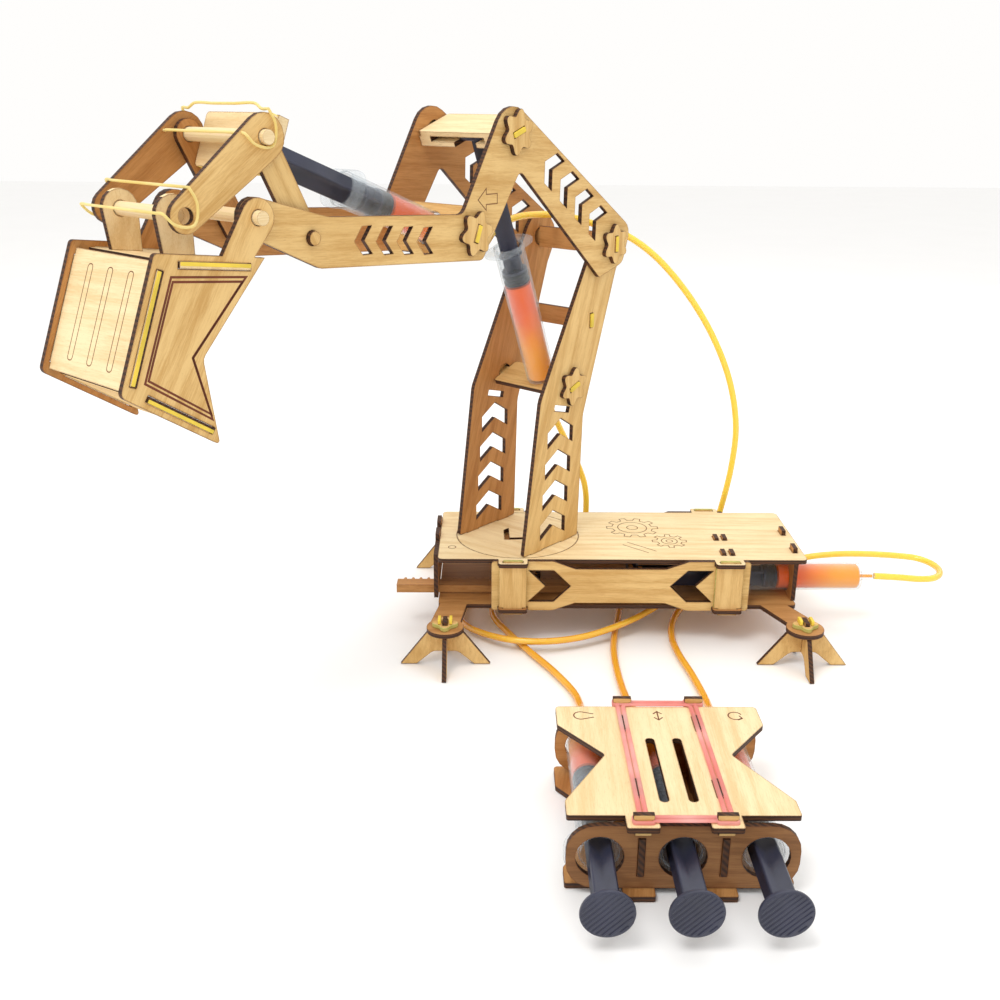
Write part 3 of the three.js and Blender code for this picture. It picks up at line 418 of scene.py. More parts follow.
CLEAR = clear_plastic()
LIQUID = liquid_colour()
HOSE = hose_colour()
NAVY = plastic("dark_plunger", rgba(0.030, 0.033, 0.062), 0.36)
GASKET = plastic("gasket", rgba(0.012, 0.012, 0.014), 0.5, 500.0, 0.15)
BAND = band_colour("band_cream", rgba(0.88, 0.72, 0.26), rgba(0.95, 0.84, 0.42))
PINK_BAND = band_colour("band_pink", rgba(0.86, 0.30, 0.26), rgba(0.97, 0.55, 0.50))
BURN_LINE = plastic("engraving", rgba(0.20, 0.085, 0.030), 0.8, 1500.0, 0.2)
DARK_BURN_LINE = plastic("deep_engraving", rgba(0.17, 0.040, 0.014), 0.8, 1500.0, 0.2)


# ---- mesh helpers ----
def to_object(name, mesh, *materials):
    thing = bpy.data.objects.new(name, mesh)
    bpy.context.scene.collection.objects.link(thing)
    for material in materials:
        mesh.materials.append(material)
    return thing


def from_bmesh(name, shape, smooth_angle=None):
    bmesh.ops.recalc_face_normals(shape, faces=shape.faces)
    mesh = bpy.data.meshes.new(name)
    shape.to_mesh(mesh)
    shape.free()
    if smooth_angle is not None:
        mesh.polygons.foreach_set("use_smooth", [True] * len(mesh.polygons))
        mesh.set_sharp_from_angle(angle=math.radians(smooth_angle))
    return mesh


def circle(x, y, radius, sides=32):
    turns = [2 * math.pi * k / sides for k in range(sides)]
    return [(x + radius * math.cos(turn), y + radius * math.sin(turn)) for turn in turns]


def rectangle(x0, y0, x1, y1):
    return [(x0, y0), (x1, y0), (x1, y1), (x0, y1)]


def rounded(corners, radius, steps=4):
    """The closed outline of the corners with each one rounded."""
    points = []
    for k, corner in enumerate(corners):
        here = Vector(corner)
        before = (Vector(corners[k - 1]) - here).normalized()
        after = (Vector(corners[(k + 1) % len(corners)]) - here).normalized()
        half = before.angle(after) / 2
        reach = radius / math.tan(half)
        start, end = here + before * reach, here + after * reach
        for step in range(steps + 1):
            t = step / steps
            points.append(tuple(start.lerp(here, t).lerp(here.lerp(end, t), t)))
    return points


def plate_mesh(name, outlines, thick, where, bevel=0.15):
    """A plate, centred on local z = 0, with softened edges: the first outline is its edge, the others are holes."""
    curve = bpy.data.curves.new(name, "CURVE")
    curve.dimensions = "2D"
    curve.fill_mode = "BOTH"
    for outline in outlines:
        spline = curve.splines.new("POLY")
        spline.points.add(len(outline) - 1)
        for point, (x, y) in zip(spline.points, outline):
            point.co = (x, y, 0, 1)
        spline.use_cyclic_u = True
    curve.extrude = thick / 2 - bevel
    curve.bevel_depth = bevel
    curve.bevel_resolution = 1
    curve.offset = -bevel
    holder = bpy.data.objects.new(name, curve)
    mesh = bpy.data.meshes.new_from_object(holder)
    bpy.data.objects.remove(holder)
    bpy.data.curves.remove(curve)
    shape = bmesh.new()
    shape.from_mesh(mesh)
    bpy.data.meshes.remove(mesh)
    bmesh.ops.remove_doubles(shape, verts=shape.verts, dist=0.002)
    bmesh.ops.transform(shape, matrix=where, verts=shape.verts)
    return from_bmesh(name, shape)


def lathe_mesh(name, profile, where, sides=48):
    """A profile of (radius, height) turned about local Z; it starts and ends on the axis or closes on itself."""
    shape = bmesh.new()
    rings = []
    for radius, height in profile:
        if radius < 1e-6:
            rings.append([shape.verts.new((0, 0, height))])
        else:
            rings.append([shape.verts.new((x, y, height)) for x, y in circle(0, 0, radius, sides)])
    pairs = list(zip(rings, rings[1:]))
    if len(rings[0]) > 1:
        pairs.append((rings[-1], rings[0]))
    for low, high in pairs:
        for k in range(sides):
            corners = [low[k % len(low)], low[(k + 1) % len(low)], high[(k + 1) % len(high)], high[k % len(high)]]
            unique = list(dict.fromkeys(corners))
            if len(unique) > 2:
                shape.faces.new(unique)
    bmesh.ops.transform(shape, matrix=where, verts=shape.verts)
    return from_bmesh(name, shape, 35)


def joined(name, parts):
    """One object from (mesh, material) pairs."""
    things = [to_object(f"{name}_{k}", mesh, material) for k, (mesh, material) in enumerate(parts)]
    with bpy.context.temp_override(active_object=things[0], selected_editable_objects=things):
        bpy.ops.object.join()
    things[0].name = name
    return things[0]


def smooth_path(points, spacing):
    """A centripetal Catmull-Rom curve through the points, sampled about every `spacing` metres."""
    knots = [2 * points[0] - points[1], *points, 2 * points[-1] - points[-2]]
    path = []
    for p0, p1, p2, p3 in zip(knots, knots[1:], knots[2:], knots[3:]):
        t0 = 0.0
        t1 = t0 + math.sqrt((p1 - p0).length)
        t2 = t1 + math.sqrt((p2 - p1).length)
        t3 = t2 + math.sqrt((p3 - p2).length)
        steps = max(1, round((p2 - p1).length / spacing))
        for step in range(steps):
            t = t1 + (t2 - t1) * step / steps
            a1 = p0 * ((t1 - t) / (t1 - t0)) + p1 * ((t - t0) / (t1 - t0))
            a2 = p1 * ((t2 - t) / (t2 - t1)) + p2 * ((t - t1) / (t2 - t1))
            a3 = p2 * ((t3 - t) / (t3 - t2)) + p3 * ((t - t2) / (t3 - t2))
            b1 = a1 * ((t2 - t) / (t2 - t0)) + a2 * ((t - t0) / (t2 - t0))
            b2 = a2 * ((t3 - t) / (t3 - t1)) + a3 * ((t - t1) / (t3 - t1))
            path.append(b1 * ((t2 - t) / (t2 - t1)) + b2 * ((t - t1) / (t2 - t1)))
    path.append(points[-1].copy())
    return path


def swept_mesh(name, path, section, closed=False):
    """A section, in metres, carried along a path without twisting. `along` runs from 0 to 1 on its points."""
    count = len(path)
    tangents = []
    for k in range(count):
        if closed:
            tangents.append((path[(k + 1) % count] - path[k - 1]).normalized())
        else:
            tangents.append((path[min(k + 1, count - 1)] - path[max(k - 1, 0)]).normalized())
    side = tangents[0].orthogonal().normalized() if abs(tangents[0].z) > 0.9 else tangents[0].cross(UP).normalized()
    shape = bmesh.new()
    rings = []
    for point, tangent in zip(path, tangents):
        side = (side - tangent * side.dot(tangent)).normalized()
        top = side.cross(tangent)
        rings.append([shape.verts.new(point + side * x + top * y) for x, y in section])
    sides = len(section)
    pairs = list(zip(rings, rings[1:]))
    if closed:
        pairs.append((rings[-1], rings[0]))
    for low, high in pairs:
        for k in range(sides):
            shape.faces.new([low[k], low[(k + 1) % sides], high[(k + 1) % sides], high[k]])
    if not closed:
        shape.faces.new(rings[0])
        shape.faces.new(rings[-1])
    mesh = from_bmesh(name, shape, 50)
    mark_along(mesh, [k / (count - 1) for k in range(count) for _ in range(sides)])
    return mesh


def mark_along(mesh, values):
    attribute = mesh.attributes.new("along", "FLOAT", "POINT")
    attribute.data.foreach_set("value", values)


# ---- hoses: the routes of the frame's own hose solids ----
GROUND_RUN = -49.7
NOZZLE_Y = -163.9
TURN_HOSE = [
    (94.6, NOZZLE_Y, -34.3), (94.7, -153, -35.3), (96.3, -140, -41.5), (98.5, -125, -48), (98.5, -108, GROUND_RUN),
    (96, -84, GROUND_RUN), (92.5, -60, GROUND_RUN), (92, -38, GROUND_RUN), (97, -16, -48.5), (109, 3, -46.5),
    (126, 16, -45), (146, 24, -42), (166, 28, -35), (185, 27.5, -27), (206, 24, -22.5), (228, 19.5, -20.5),
    (245.5, 16.5, -20.5), (254, 14.2, -20.8), (260.2, 8, -21.2), (262.5, -0.5, -21.6), (260.2, -9, -21.8),
    (254, -15.2, -21.6), (245.5, -17.5, -21.2), (232, -17.2, -20.3), (216.8, -17, -19.5),
]
LIFT_HOSE = [
    (61.2, NOZZLE_Y, -34.3), (61.1, -153, -35.3), (60, -140, -41.5), (58, -124, -48), (56, -106, GROUND_RUN),
    (54.8, -80, GROUND_RUN), (55.5, -56, GROUND_RUN), (58.5, -34, GROUND_RUN), (62.5, -14, -49), (65, 0, -47.8),
    (66, 12, -46.5), (70.2, 23.6, -45), (80.9, 29.7, -43.5), (93, 27.6, -42), (100.9, 18.2, -41.3),
    (101.4, 7.5, -41), (97.8, 0.4, -41), (77, -24, -42),
    (59, -38, -43.5), (38, -49, -45), (16, -55, -45), (-5, -52, -45.5), (-22, -40, -47), (-33, -22, GROUND_RUN),
    (-35, -2, GROUND_RUN), (-27, 18, GROUND_RUN), (-11, 34, GROUND_RUN), (9, 46, GROUND_RUN), (28, 53, -46),
    (40.5, 55.5, -34), (45.5, 55, -17), (46.5, 52.9, 0.15), (44.5, 49, 16), (38.5, 43, 33), (30.5, 34.5, 50),
    (23.5, 24, 66), (18.2, 13.2, 79), (15.43, 9.49, 88.28),
]
GRAB_HOSE_LOWER = [
    (27.8, NOZZLE_Y, -34.3), (28, -153, -35.3), (29.5, -140, -41.5), (31, -124, -48), (29, -106, GROUND_RUN),
    (19, -82, GROUND_RUN), (6, -58, GROUND_RUN), (-6, -34, GROUND_RUN), (-14.5, -12, GROUND_RUN),
    (-13, 8, GROUND_RUN), (2, 20, GROUND_RUN), (24, 23, GROUND_RUN), (50, 26, GROUND_RUN), (76, 34, GROUND_RUN),
    (99, 46, GROUND_RUN), (117, 56, -47.5), (129, 61, -37), (134.5, 62.5, -21), (139, 62, 0), (142.5, 61, 25),
    (143, 60, 52), (136.5, 59, 82), (123, 58, 112), (104, 56, 140), (82, 53, 163), (62, 49.5, 176),
    (44.7, 46.4, 181.6),
]
# This one is laid out in the boom's plane, as (forward, near side, up).
GRAB_HOSE_UPPER = [
    (-63.9, 1.4, 181.8), (-54.8, -5.3, 185.2), (-42, -9, 187.6), (-25, -10.8, 188.8), (-8, -11.3, 188.3),
    (6, -10.4, 185.4), (15, -8.4, 181.6), (22.5, -5.5, 178), (30.3, -2, 175.5), (36, -0.3, 175.6), (40.8, 0, 177.2),
]


def hose(name, points, nodes):
    path = smooth_path(points, 0.0022)
    section = circle(0, 0, HOSE_RADIUS * MM, 16)
    piece = to_object(name, swept_mesh(name, path, section), HOSE)
    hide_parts(*nodes)
    return piece


turn_hose = hose("turn_hose", [deck(*point) for point in TURN_HOSE], ["hose_turn"])
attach(turn_hose, "base")
lift_hose = hose("lift_hose", [deck(*point) for point in LIFT_HOSE], ["hose_lift_lower", "hose_lift_upper"])
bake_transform(lift_hose)
grab_hose = hose("grab_hose_lower", [deck(*point) for point in GRAB_HOSE_LOWER], ["hose_grab_lower"])
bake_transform(grab_hose)
boom_hose = hose("grab_hose_upper", [boom(*point) for point in GRAB_HOSE_UPPER], ["hose_grab_upper"])
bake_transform(boom_hose)


# ---- floor, light ----
def make_studio():
    floor = to_object("floor", from_bmesh("floor", grid(4.0, -0.0004)), floor_colour())
    world = bpy.data.worlds.new("studio")
    world.use_nodes = True
    background = world.node_tree.nodes["Background"]
    background.inputs["Color"].default_value = (1.0, 0.99, 0.975, 1.0)
    background.inputs["Strength"].default_value = 1.0
    bpy.context.scene.world = world
    bpy.context.scene.view_settings.view_transform = "Standard"
    soft_light("key", (-0.45, -0.55, 1.35), 0.6, 8.0)
    soft_light("top", (0.25, 0.35, 1.5), 0.9, 3.0)
    soft_light("rim", (0.9, 0.9, 0.8), 0.8, 1.5)


def grid(half, height):
    shape = bmesh.new()
    shape.faces.new([shape.verts.new((x, y, height)) for x, y in rectangle(-half, -half, half, half)])
    return shape


def floor_colour():
    material, tree = new_material("floor")
    position = tree.nodes.new("ShaderNodeTexCoord").outputs["Object"]
    shader = node(tree, "BsdfPrincipled", {
        "Base Color": mix(tree, noise(tree, position, 8.0), rgba(0.93, 0.927, 0.92), rgba(0.96, 0.957, 0.95)),
        "Roughness": 0.9,
    })
    finish_material(tree, shader)
    return material


def soft_light(name, where, size, power):
    light = bpy.data.lights.new(name, "AREA")
    light.shape = "DISK"
    light.size = size
    light.energy = power
    lamp = bpy.data.objects.new(name, light)
    lamp.location = where
    lamp.rotation_mode = "QUATERNION"
    lamp.rotation_quaternion = (Vector((0, 0, 0.1)) - lamp.location).to_track_quat("-Z", "Y")
    bpy.context.scene.collection.objects.link(lamp)


make_studio()


# ---- plywood on the frame's plates ----
def main_faces(mesh, count):
    """The directions of the largest flat faces, largest first."""
    found = []
    for polygon in mesh.polygons:
        for entry in found:
            if abs(entry[1].dot(polygon.normal)) > 0.98:
                entry[0] += polygon.area
                break
        else:
            found.append([polygon.area, polygon.normal.copy()])
    found.sort(key=lambda entry: -entry[0])
    return [tuple(direction) for _, direction in found[:count]]


def long_way(mesh, normal):
    """The direction in the plate's plane in which it is longest."""
    points = np.array([vertex.co for vertex in mesh.vertices])
    points = points - points.mean(0)
    flat = points - np.outer(points @ np.array(normal), normal)
    return tuple(np.linalg.svd(flat, full_matrices=False)[2][0])


FEET = ["foot_front_left", "foot_front_right", "foot_rear_left", "foot_rear_right"]
TONE_OF = {
    # Pale tone, painted light: these plates face up, or stand bright in the light, so they are coloured lighter.
    "painted_lit_pale": ["deck_plate", "turntable_disc", "controller_cover", "bucket_top", "bucket_back", "lift_yoke",
             "grab_yoke"],
    # Amber tone, painted shade: far plates, inner plates and plates under the deck are coloured darker.
    "painted_shade_amber": ["mast_far", "arm_far", "bucket_side_far", "rear_axle", "mast_brace", "turn_pinion", "end_plate",
              "controller_floor", "controller_rear", "flange_clamp_1", "flange_clamp_2", "left_plate", "rack_bar",
              "floor_plate", "coupler_far", "rocker_far"],
    # Brown tone, deeper painted shade, for the controller's front and spines.
    "painted_shade_brown": ["controller_front", "controller_spine_1", "controller_spine_2"],
}
TONES_BY_NODE = {name: tone for tone, names in TONE_OF.items() for name in names}
TWO_WAY = [*FEET, "bucket_top", "rack_bar", "lift_yoke", "grab_yoke"]

slots = {part["node"]: part["material_slot"] for part in frame["record"]["subparts"]}
for name, part in frame["nodes"].items():
    if slots[name] not in ("plywood", "dowel"):
        continue
    faces = main_faces(part.data, 2 if name in TWO_WAY else 1)
    if slots[name] == "dowel":
        # Dowels take the pale tone and a pale edge: partly their own pale birch, partly painted light on their
        # bright ends.
        material = plywood(name, [tuple(NEAR)], tuple(FORWARD), "painted_lit_pale", rgba(0.80, 0.62, 0.38), 0.0004)
    else:
        low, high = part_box(name)
        crossing = ((low.x + high.x) / 2, (low.y + high.y) / 2) if name in FEET else None
        # The grab yoke's yellow edges are painted light on its brightly lit top piece.
        edge = LIT_YELLOW_EDGE if name == "grab_yoke" else BURNT
        tone = TONES_BY_NODE.get(name, "gold")
        material = plywood(name, faces, long_way(part.data, faces[0]), tone, edge, crossing=crossing)
    part.data.materials.clear()
    part.data.materials.append(material)


# ---- syringes: local Z runs from the nozzle to the thumb disc, with the barrel's shoulder at 0 ----
def body_of(name):
    return frame["nodes"][name]["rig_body"]


def barrel_mesh(where):
    b = BARREL
    outer = [(b["bore"], -b["nozzle"]), (b["tip"], -b["nozzle"]), (b["tip"] + 0.5, -1.5), (b["tip"] + 0.9, -0.4),
             (b["radius"] - 1.6, 0.0), (b["radius"] - 0.5, 0.45), (b["radius"], 1.6), (b["radius"], b["length"])]
    inner = [(b["inside"], b["length"]), (b["inside"], 2.2), (b["inside"] - 0.8, 1.3), (b["bore"] + 0.4, 1.0),
             (b["bore"], 0.2)]
    return lathe_mesh("barrel", outer + inner, where)


def flange_mesh(where, height):
    f = FLANGE
    corners = [(-f["half_long"], -f["half_short"]), (f["half_long"], -f["half_short"]),
               (f["half_long"], f["half_short"]), (-f["half_long"], f["half_short"])]
    hole = circle(0, 0, BARREL["radius"] - 0.3, 48)
    lifted = where @ Matrix.Translation((0, 0, height))
    return plate_mesh("flange", [rounded(corners, 8.0, 10), hole], f["thick"], lifted, 0.4)


def liquid_mesh(where, gasket):
    """Fills the barrel from its nozzle to the gasket; `along` is 1 at the gasket."""
    radius = BARREL["inside"] - 0.06
    profile = [(0.0, 1 - BARREL["nozzle"]), (BARREL["bore"] - 0.05, 1 - BARREL["nozzle"]),
               (BARREL["bore"] - 0.05, 0.9), (radius - 1.0, 1.4), (radius, 2.4)]
    profile += [(radius, 2.4 + (gasket - 2.6) * k / 8) for k in range(1, 9)]
    profile.append((0.0, profile[-1][1]))
    mesh = lathe_mesh("liquid", profile, where)
    back = where.inverted()
    mark_along(mesh, [max(0.0, min(1.0, (back @ vertex.co).z / gasket)) for vertex in mesh.vertices])
    return mesh


def rod_mesh(where, gasket):
    """Cross-ribbed rod, from behind the gasket to the thumb disc."""
    half, thin = PLUNGER["rib"] / 2, 0.8
    cross = [(half, -thin), (half, thin), (thin, thin), (thin, half), (-thin, half), (-thin, thin),
             (-half, thin), (-half, -thin), (-thin, -thin), (-thin, -half), (thin, -half), (thin, -thin)]
    low = gasket + PLUNGER["gasket_length"] - 0.4
    high = gasket + PLUNGER["length"] - PLUNGER["disc_thick"] + 0.1
    lifted = where @ Matrix.Translation((0, 0, (low + high) / 2))
    return plate_mesh("rod", [cross], high - low, lifted, 0.25)


def collar_mesh(where, height, radius, thick):
    profile = [(0, height), (radius - 0.3, height), (radius, height + 0.3), (radius, height + thick - 0.3),
               (radius - 0.3, height + thick), (0, height + thick)]
    return lathe_mesh("collar", profile, where)


def gasket_mesh(where, gasket):
    """Two lips with a waist between them, and a shallow cone at the front."""
    r, length = PLUNGER["gasket"], PLUNGER["gasket_length"]
    profile = [(0, gasket + 0.1), (r - 2.4, gasket + 0.3), (r - 0.5, gasket + 0.8), (r, gasket + 1.3),
               (r, gasket + 2.3), (r - 0.55, gasket + 2.9), (r - 0.55, gasket + length - 3.0),
               (r, gasket + length - 2.4), (r, gasket + length - 1.2), (r - 0.5, gasket + length - 0.5),
               (0, gasket + length - 0.5)]
    return lathe_mesh("gasket", profile, where)


def disc_mesh(where, top):
    r, thick = PLUNGER["disc"], PLUNGER["disc_thick"] - 0.3
    low = top - PLUNGER["disc_thick"]
    profile = [(0, low), (r - 0.6, low), (r - 0.15, low + 0.25), (r, low + 0.8), (r, low + thick - 0.6),
               (r - 0.2, low + thick - 0.15), (r - 0.6, low + thick), (0, low + thick)]
    return lathe_mesh("disc", profile, where, 64)


def ridge_meshes(where, top):
    """Grip ridges across the thumb disc."""
    pitch, half_wide = 1.9, 0.5
    meshes = []
    for k in range(-5, 6):
        y = k * pitch
        reach = math.sqrt((PLUNGER["disc"] - 0.5) ** 2 - (abs(y) + half_wide) ** 2)
        lifted = where @ Matrix.Translation((0, 0, top - 0.3))
        outline = rectangle(-reach, y - half_wide, reach, y + half_wide)
        meshes.append(plate_mesh("ridge", [outline], 0.6, lifted, 0.2))
    return meshes


def syringe(use, origin, axis, across, gasket, barrel_node, rod_node, spin=0.0):
    """The barrel on its own body, its liquid baked in place on no body, and the rod with gasket and thumb disc on
    the rod's body.
    """
    where = place(origin, across, axis)
    top = gasket + PLUNGER["length"]
    shell = joined(f"barrel_{use}", [
        (barrel_mesh(where), CLEAR),
        (flange_mesh(where, BARREL["length"] - FLANGE["thick"] / 2), CLEAR),
    ])
    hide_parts(barrel_node)
    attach(shell, body_of(barrel_node))
    fluid = to_object(f"liquid_{use}", liquid_mesh(where, gasket), LIQUID)
    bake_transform(fluid)
    turned = where @ Matrix.Rotation(spin, 4, "Z")
    parts = [
        (rod_mesh(turned, gasket), NAVY),
        (collar_mesh(where, gasket + PLUNGER["gasket_length"] - 0.6, 6.9, 1.6), NAVY),
        (collar_mesh(where, gasket + PLUNGER["gasket_length"] + 9, 6.6, 1.2), NAVY),
        (collar_mesh(where, top - PLUNGER["disc_thick"] - 1.4, 7.4, 1.5), NAVY),
        (disc_mesh(where, top), NAVY),
        *[(mesh, NAVY) for mesh in ridge_meshes(turned, top)],
    ]
    plunger = joined(f"plunger_{use}", parts)
    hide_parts(rod_node)
    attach(plunger, body_of(rod_node))
    seal = to_object(f"gasket_{use}", gasket_mesh(where, gasket), GASKET)
    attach(seal, body_of(rod_node))


LIFT_OFFSET, LIFT_SHOULDER = 5.0, PLY / 2 + FIT
lift_axis = Vector(joints["lift_stroke"]["axis"])
lift_origin = Vector(joints["lift_swing"]["pos_m"]) + (NEAR * LIFT_OFFSET + lift_axis * LIFT_SHOULDER) * MM
syringe("lift", lift_origin, lift_axis, NEAR.cross(lift_axis), LIFT_GASKET, "lift_barrel", "lift_plunger")

GRAB_SHOULDER = -22.0
grab_axis = Vector(joints["grab_stroke"]["axis"])
grab_origin = Vector(joints["grab_swing"]["pos_m"]) + grab_axis * GRAB_SHOULDER * MM
syringe("grab", grab_origin, grab_axis, NEAR, GRAB_GASKET, "grab_barrel", "grab_plunger")

syringe("turn", deck(*TURN_SHOULDER), Vector((-1, 0, 0)), Vector((0, 1, 0)), TURN_GASKET,
        "turn_barrel", "turn_plunger", math.pi / 4)

for use, x in CONTROL_X.items():
    syringe(f"control_{use}", deck(x, CONTROL_SHOULDER_Y, CONTROL_AXIS_Z), Vector((0, -1, 0)), Vector((1, 0, 0)),
            CONTROL_GASKET, f"control_barrel_{use}", f"control_plunger_{use}", math.pi / 4)


# ---- small plywood pieces ----
def star(lobes, radius, wave, steps=72):
    turns = [2 * math.pi * k / steps for k in range(steps)]
    return [((radius + wave * math.cos(lobes * turn)) * math.cos(turn),
             (radius + wave * math.cos(lobes * turn)) * math.sin(turn)) for turn in turns]


WASHER_WOOD = plywood("washer", [tuple(NEAR)], tuple(UP), "gold", BURNT, 0.0007)
# The bright yellow of tab ends and pegs is a painted highlight: it stands for sunlit wood.
SUNLIT_TAB_YELLOW = plastic("tab_sunlit_yellow", rgba(0.85, 0.62, 0.06), 0.6, 400.0, 0.3)


def washer(name, centre, tab_way, side, face, body):
    """A six-lobed washer on a plate's outer face, with the end of the tab that it locks."""
    outward = NEAR * side
    middle = centre + outward * (face + 0.1 + PLY / 2) * MM
    where = place(middle, tab_way, outward)
    half_long, half_thin = TAB_LONG / 2, PLY / 2
    slot_hole = rectangle(-half_long - FIT, -half_thin - FIT, half_long + FIT, half_thin + FIT)
    ring = plate_mesh("ring", [star(6, WASHER_RADIUS, WASHER_WAVE), slot_hole], PLY, where)
    lifted = where @ Matrix.Translation((0, 0, 0.45))
    tab_outline = rounded(rectangle(-half_long, -half_thin, half_long, half_thin), 0.5)
    tab = plate_mesh("tab", [tab_outline], PLY + 0.9, lifted, 0.3)
    piece = joined(name, [(ring, WASHER_WOOD), (tab, SUNLIT_TAB_YELLOW)])
    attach(piece, body)


def pivot(name):
    return Vector(joints[name]["pos_m"])


apex = boom(APEX[0], 0, APEX[1])
for side, label in ((1, "near"), (-1, "far")):
    washer(f"washer_rear_{label}", pivot("lift"), UP, side, ARM_FACE, "turntable")
    washer(f"washer_apex_{label}", apex, NEAR.cross(lift_axis), side, ARM_FACE, "boom")
    washer(f"washer_elbow_{label}", pivot("grab_swing"), NEAR.cross(grab_axis), side, ARM_FACE, "grab_cylinder")
    washer(f"washer_mast_{label}", pivot("lift_swing"), NEAR.cross(lift_axis), side, MAST_FACE, "lift_cylinder")


def brace_tab(label, side):
    """End of the mast brace's tab, on a mast's outer face."""
    where = place(boom(BRACE[0], side * (MAST_FACE + 0.5), BRACE[1]), UP, NEAR * side)
    cap = plate_mesh("cap", [rounded(rectangle(-4, -1.25, 4, 1.25), 0.4)], 1.4, where, 0.3)
    piece = to_object(f"brace_tab_{label}", cap, SUNLIT_TAB_YELLOW)
    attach(piece, "turntable")


brace_tab("near", 1)
brace_tab("far", -1)

STRIP_WOOD = plywood("lock_strip", [(0, 1, 0)], (0, 0, 1), "gold", GREEN_EDGE)
ROSETTE_WOOD = plywood("rosette", [(0, 0, 1)], (1, 0, 0), "gold", GREEN_EDGE, 0.0005)


def lock_strip(label, x, side):
    """Strip that pins a side panel: wide between the lugs, narrower in their slots."""
    left, right, low, high = x + 0.5, x + LUG_WIDTH - 0.5, -28.6, -2.9
    slot_left, slot_right, bottom, top = x + 2.9, x + LUG_WIDTH - 2.9, -33.0, 0.9
    outline = [(left, low), (slot_left, low), (slot_left, bottom), (slot_right, bottom), (slot_right, low),
               (right, low), (right, high), (slot_right, high), (slot_right, top), (slot_left, top),
               (slot_left, high), (left, high)]
    where = place(deck(0, side * (DECK_HALF + 4.2), 0), (1, 0, 0), (0, -1, 0))
    piece = to_object(f"lock_strip_{label}", plate_mesh("strip", [outline], PLY, where), STRIP_WOOD)
    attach(piece, "base")


for row, side in (("front", -1), ("rear", 1)):
    for end, x in zip(("left", "right"), LUG_STARTS):
        lock_strip(f"{row}_{end}", x, side)


def rosette(label, x, y):
    """Clover washer and two cross pegs that lock a foot's tab on top of its ear."""
    where = place(deck(x, y, FLOOR_TOP + 0.1 + PLY / 2), (1, 0, 0), (0, 0, 1))
    slot_hole = rectangle(-PLY / 2 - FIT, -4.3, PLY / 2 + FIT, 4.3)
    parts = [(plate_mesh("clover", [star(4, 6.1, 1.2), slot_hole], PLY, where), ROSETTE_WOOD)]
    for turn in (-1, 1):
        peg = place(deck(x + turn * 3.2, y, FLOOR_TOP + PLY + 1.6), (0, 1, 0), (1, 0, 0))
        parts.append((plate_mesh("peg", [rounded(rectangle(-3.2, -1.4, 3.2, 1.4), 0.6)], 1.6, peg), SUNLIT_TAB_YELLOW))
    piece = joined(f"rosette_{label}", parts)
    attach(piece, "base")


for row, y in FOOT_Y.items():
    for end, x in FOOT_X.items():
        rosette(f"{row}_{end}", x, y)


# ---- engraved lines: thin burnt ribbons on the plates ----
def ribbon(points, wide, where, closed, lift=0.03):
    """A flat line of the given width along 2D points, standing `lift` mm proud of local z = 0."""
    shape = bmesh.new()
    count = len(points)
    places = [Vector((*point, 0)) for point in points]
    rows = []
    for k, here in enumerate(places):
        before = places[k - 1] if closed or k else here
        after = places[(k + 1) % count] if closed or k < count - 1 else here
        into = (here - before).normalized() if (here - before).length > 1e-6 else (after - here).normalized()
        out = (after - here).normalized() if (after - here).length > 1e-6 else into
        along = (into + out).normalized()
        side = Vector((-along.y, along.x, 0)) * (wide / 2 / max(0.4, along.dot(into)))
        rows.append([shape.verts.new(here + side * s + Vector((0, 0, z))) for s, z in
                     ((1, -0.02), (1, lift), (-1, lift), (-1, -0.02))])
    pairs = list(zip(rows, rows[1:]))
    if closed:
        pairs.append((rows[-1], rows[0]))
    for a, b in pairs:
        for k in range(4):
            shape.faces.new([a[k], a[(k + 1) % 4], b[(k + 1) % 4], b[k]])
    if not closed:
        shape.faces.new(rows[0])
        shape.faces.new(rows[-1])
    bmesh.ops.transform(shape, matrix=where, verts=shape.verts)
    return from_bmesh("ribbon", shape)


def engrave(name, lines, wide, where, body, ink=BURN_LINE):
    """One piece of several lines, each (points, closed) in local millimetres."""
    piece = joined(name, [(ribbon(points, wide, where, closed), ink) for points, closed in lines])
    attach(piece, body)


def arc_line(x, y, radius, start, end, steps=16):
    turns = [math.radians(start + (end - start) * k / steps) for k in range(steps + 1)]
    return [(x + radius * math.cos(turn), y + radius * math.sin(turn)) for turn in turns]


def gear_outline(x, y, teeth, root, tip):
    points = []
    for k in range(teeth):
        for part, radius in ((-0.28, root), (-0.18, tip), (0.18, tip), (0.28, root)):
            turn = 2 * math.pi * (k + part) / teeth
            points.append((x + radius * math.cos(turn), y + radius * math.sin(turn)))
    return points


deck_plane = place(deck(0, 0, 0), (1, 0, 0), (0, 0, 1))
engrave("deck_engraving", [
    (gear_outline(72, 12, 10, 12.5, 16.0), True), (circle(72, 12, 9.0, 40), True), (circle(72, 12, 3.4, 24), True),
    (gear_outline(92, -10, 8, 7.6, 10.4), True), (circle(92, -10, 4.8, 28), True), (circle(92, -10, 2.0, 20), True),
    ([(66, -12), (82, -26)], False), ([(63, -16), (77, -28.5)], False), (circle(-39.5, -21, 2.2, 24), True),
], 0.55, deck_plane, "base")

arrow_plane = place(boom(59.8, ARM_FACE, 204.3), FORWARD, NEAR)
ARROW = [(7.5, 0), (1.6, 5.2), (1.6, 2.4), (-6.5, 2.4), (-6.5, -2.4), (1.6, -2.4), (1.6, -5.2)]
engrave("boom_arrow", [(ARROW, True)], 0.5, arrow_plane, "boom")

side_plane = place(boom(0, SIDE_FACE, 0), FORWARD, NEAR)


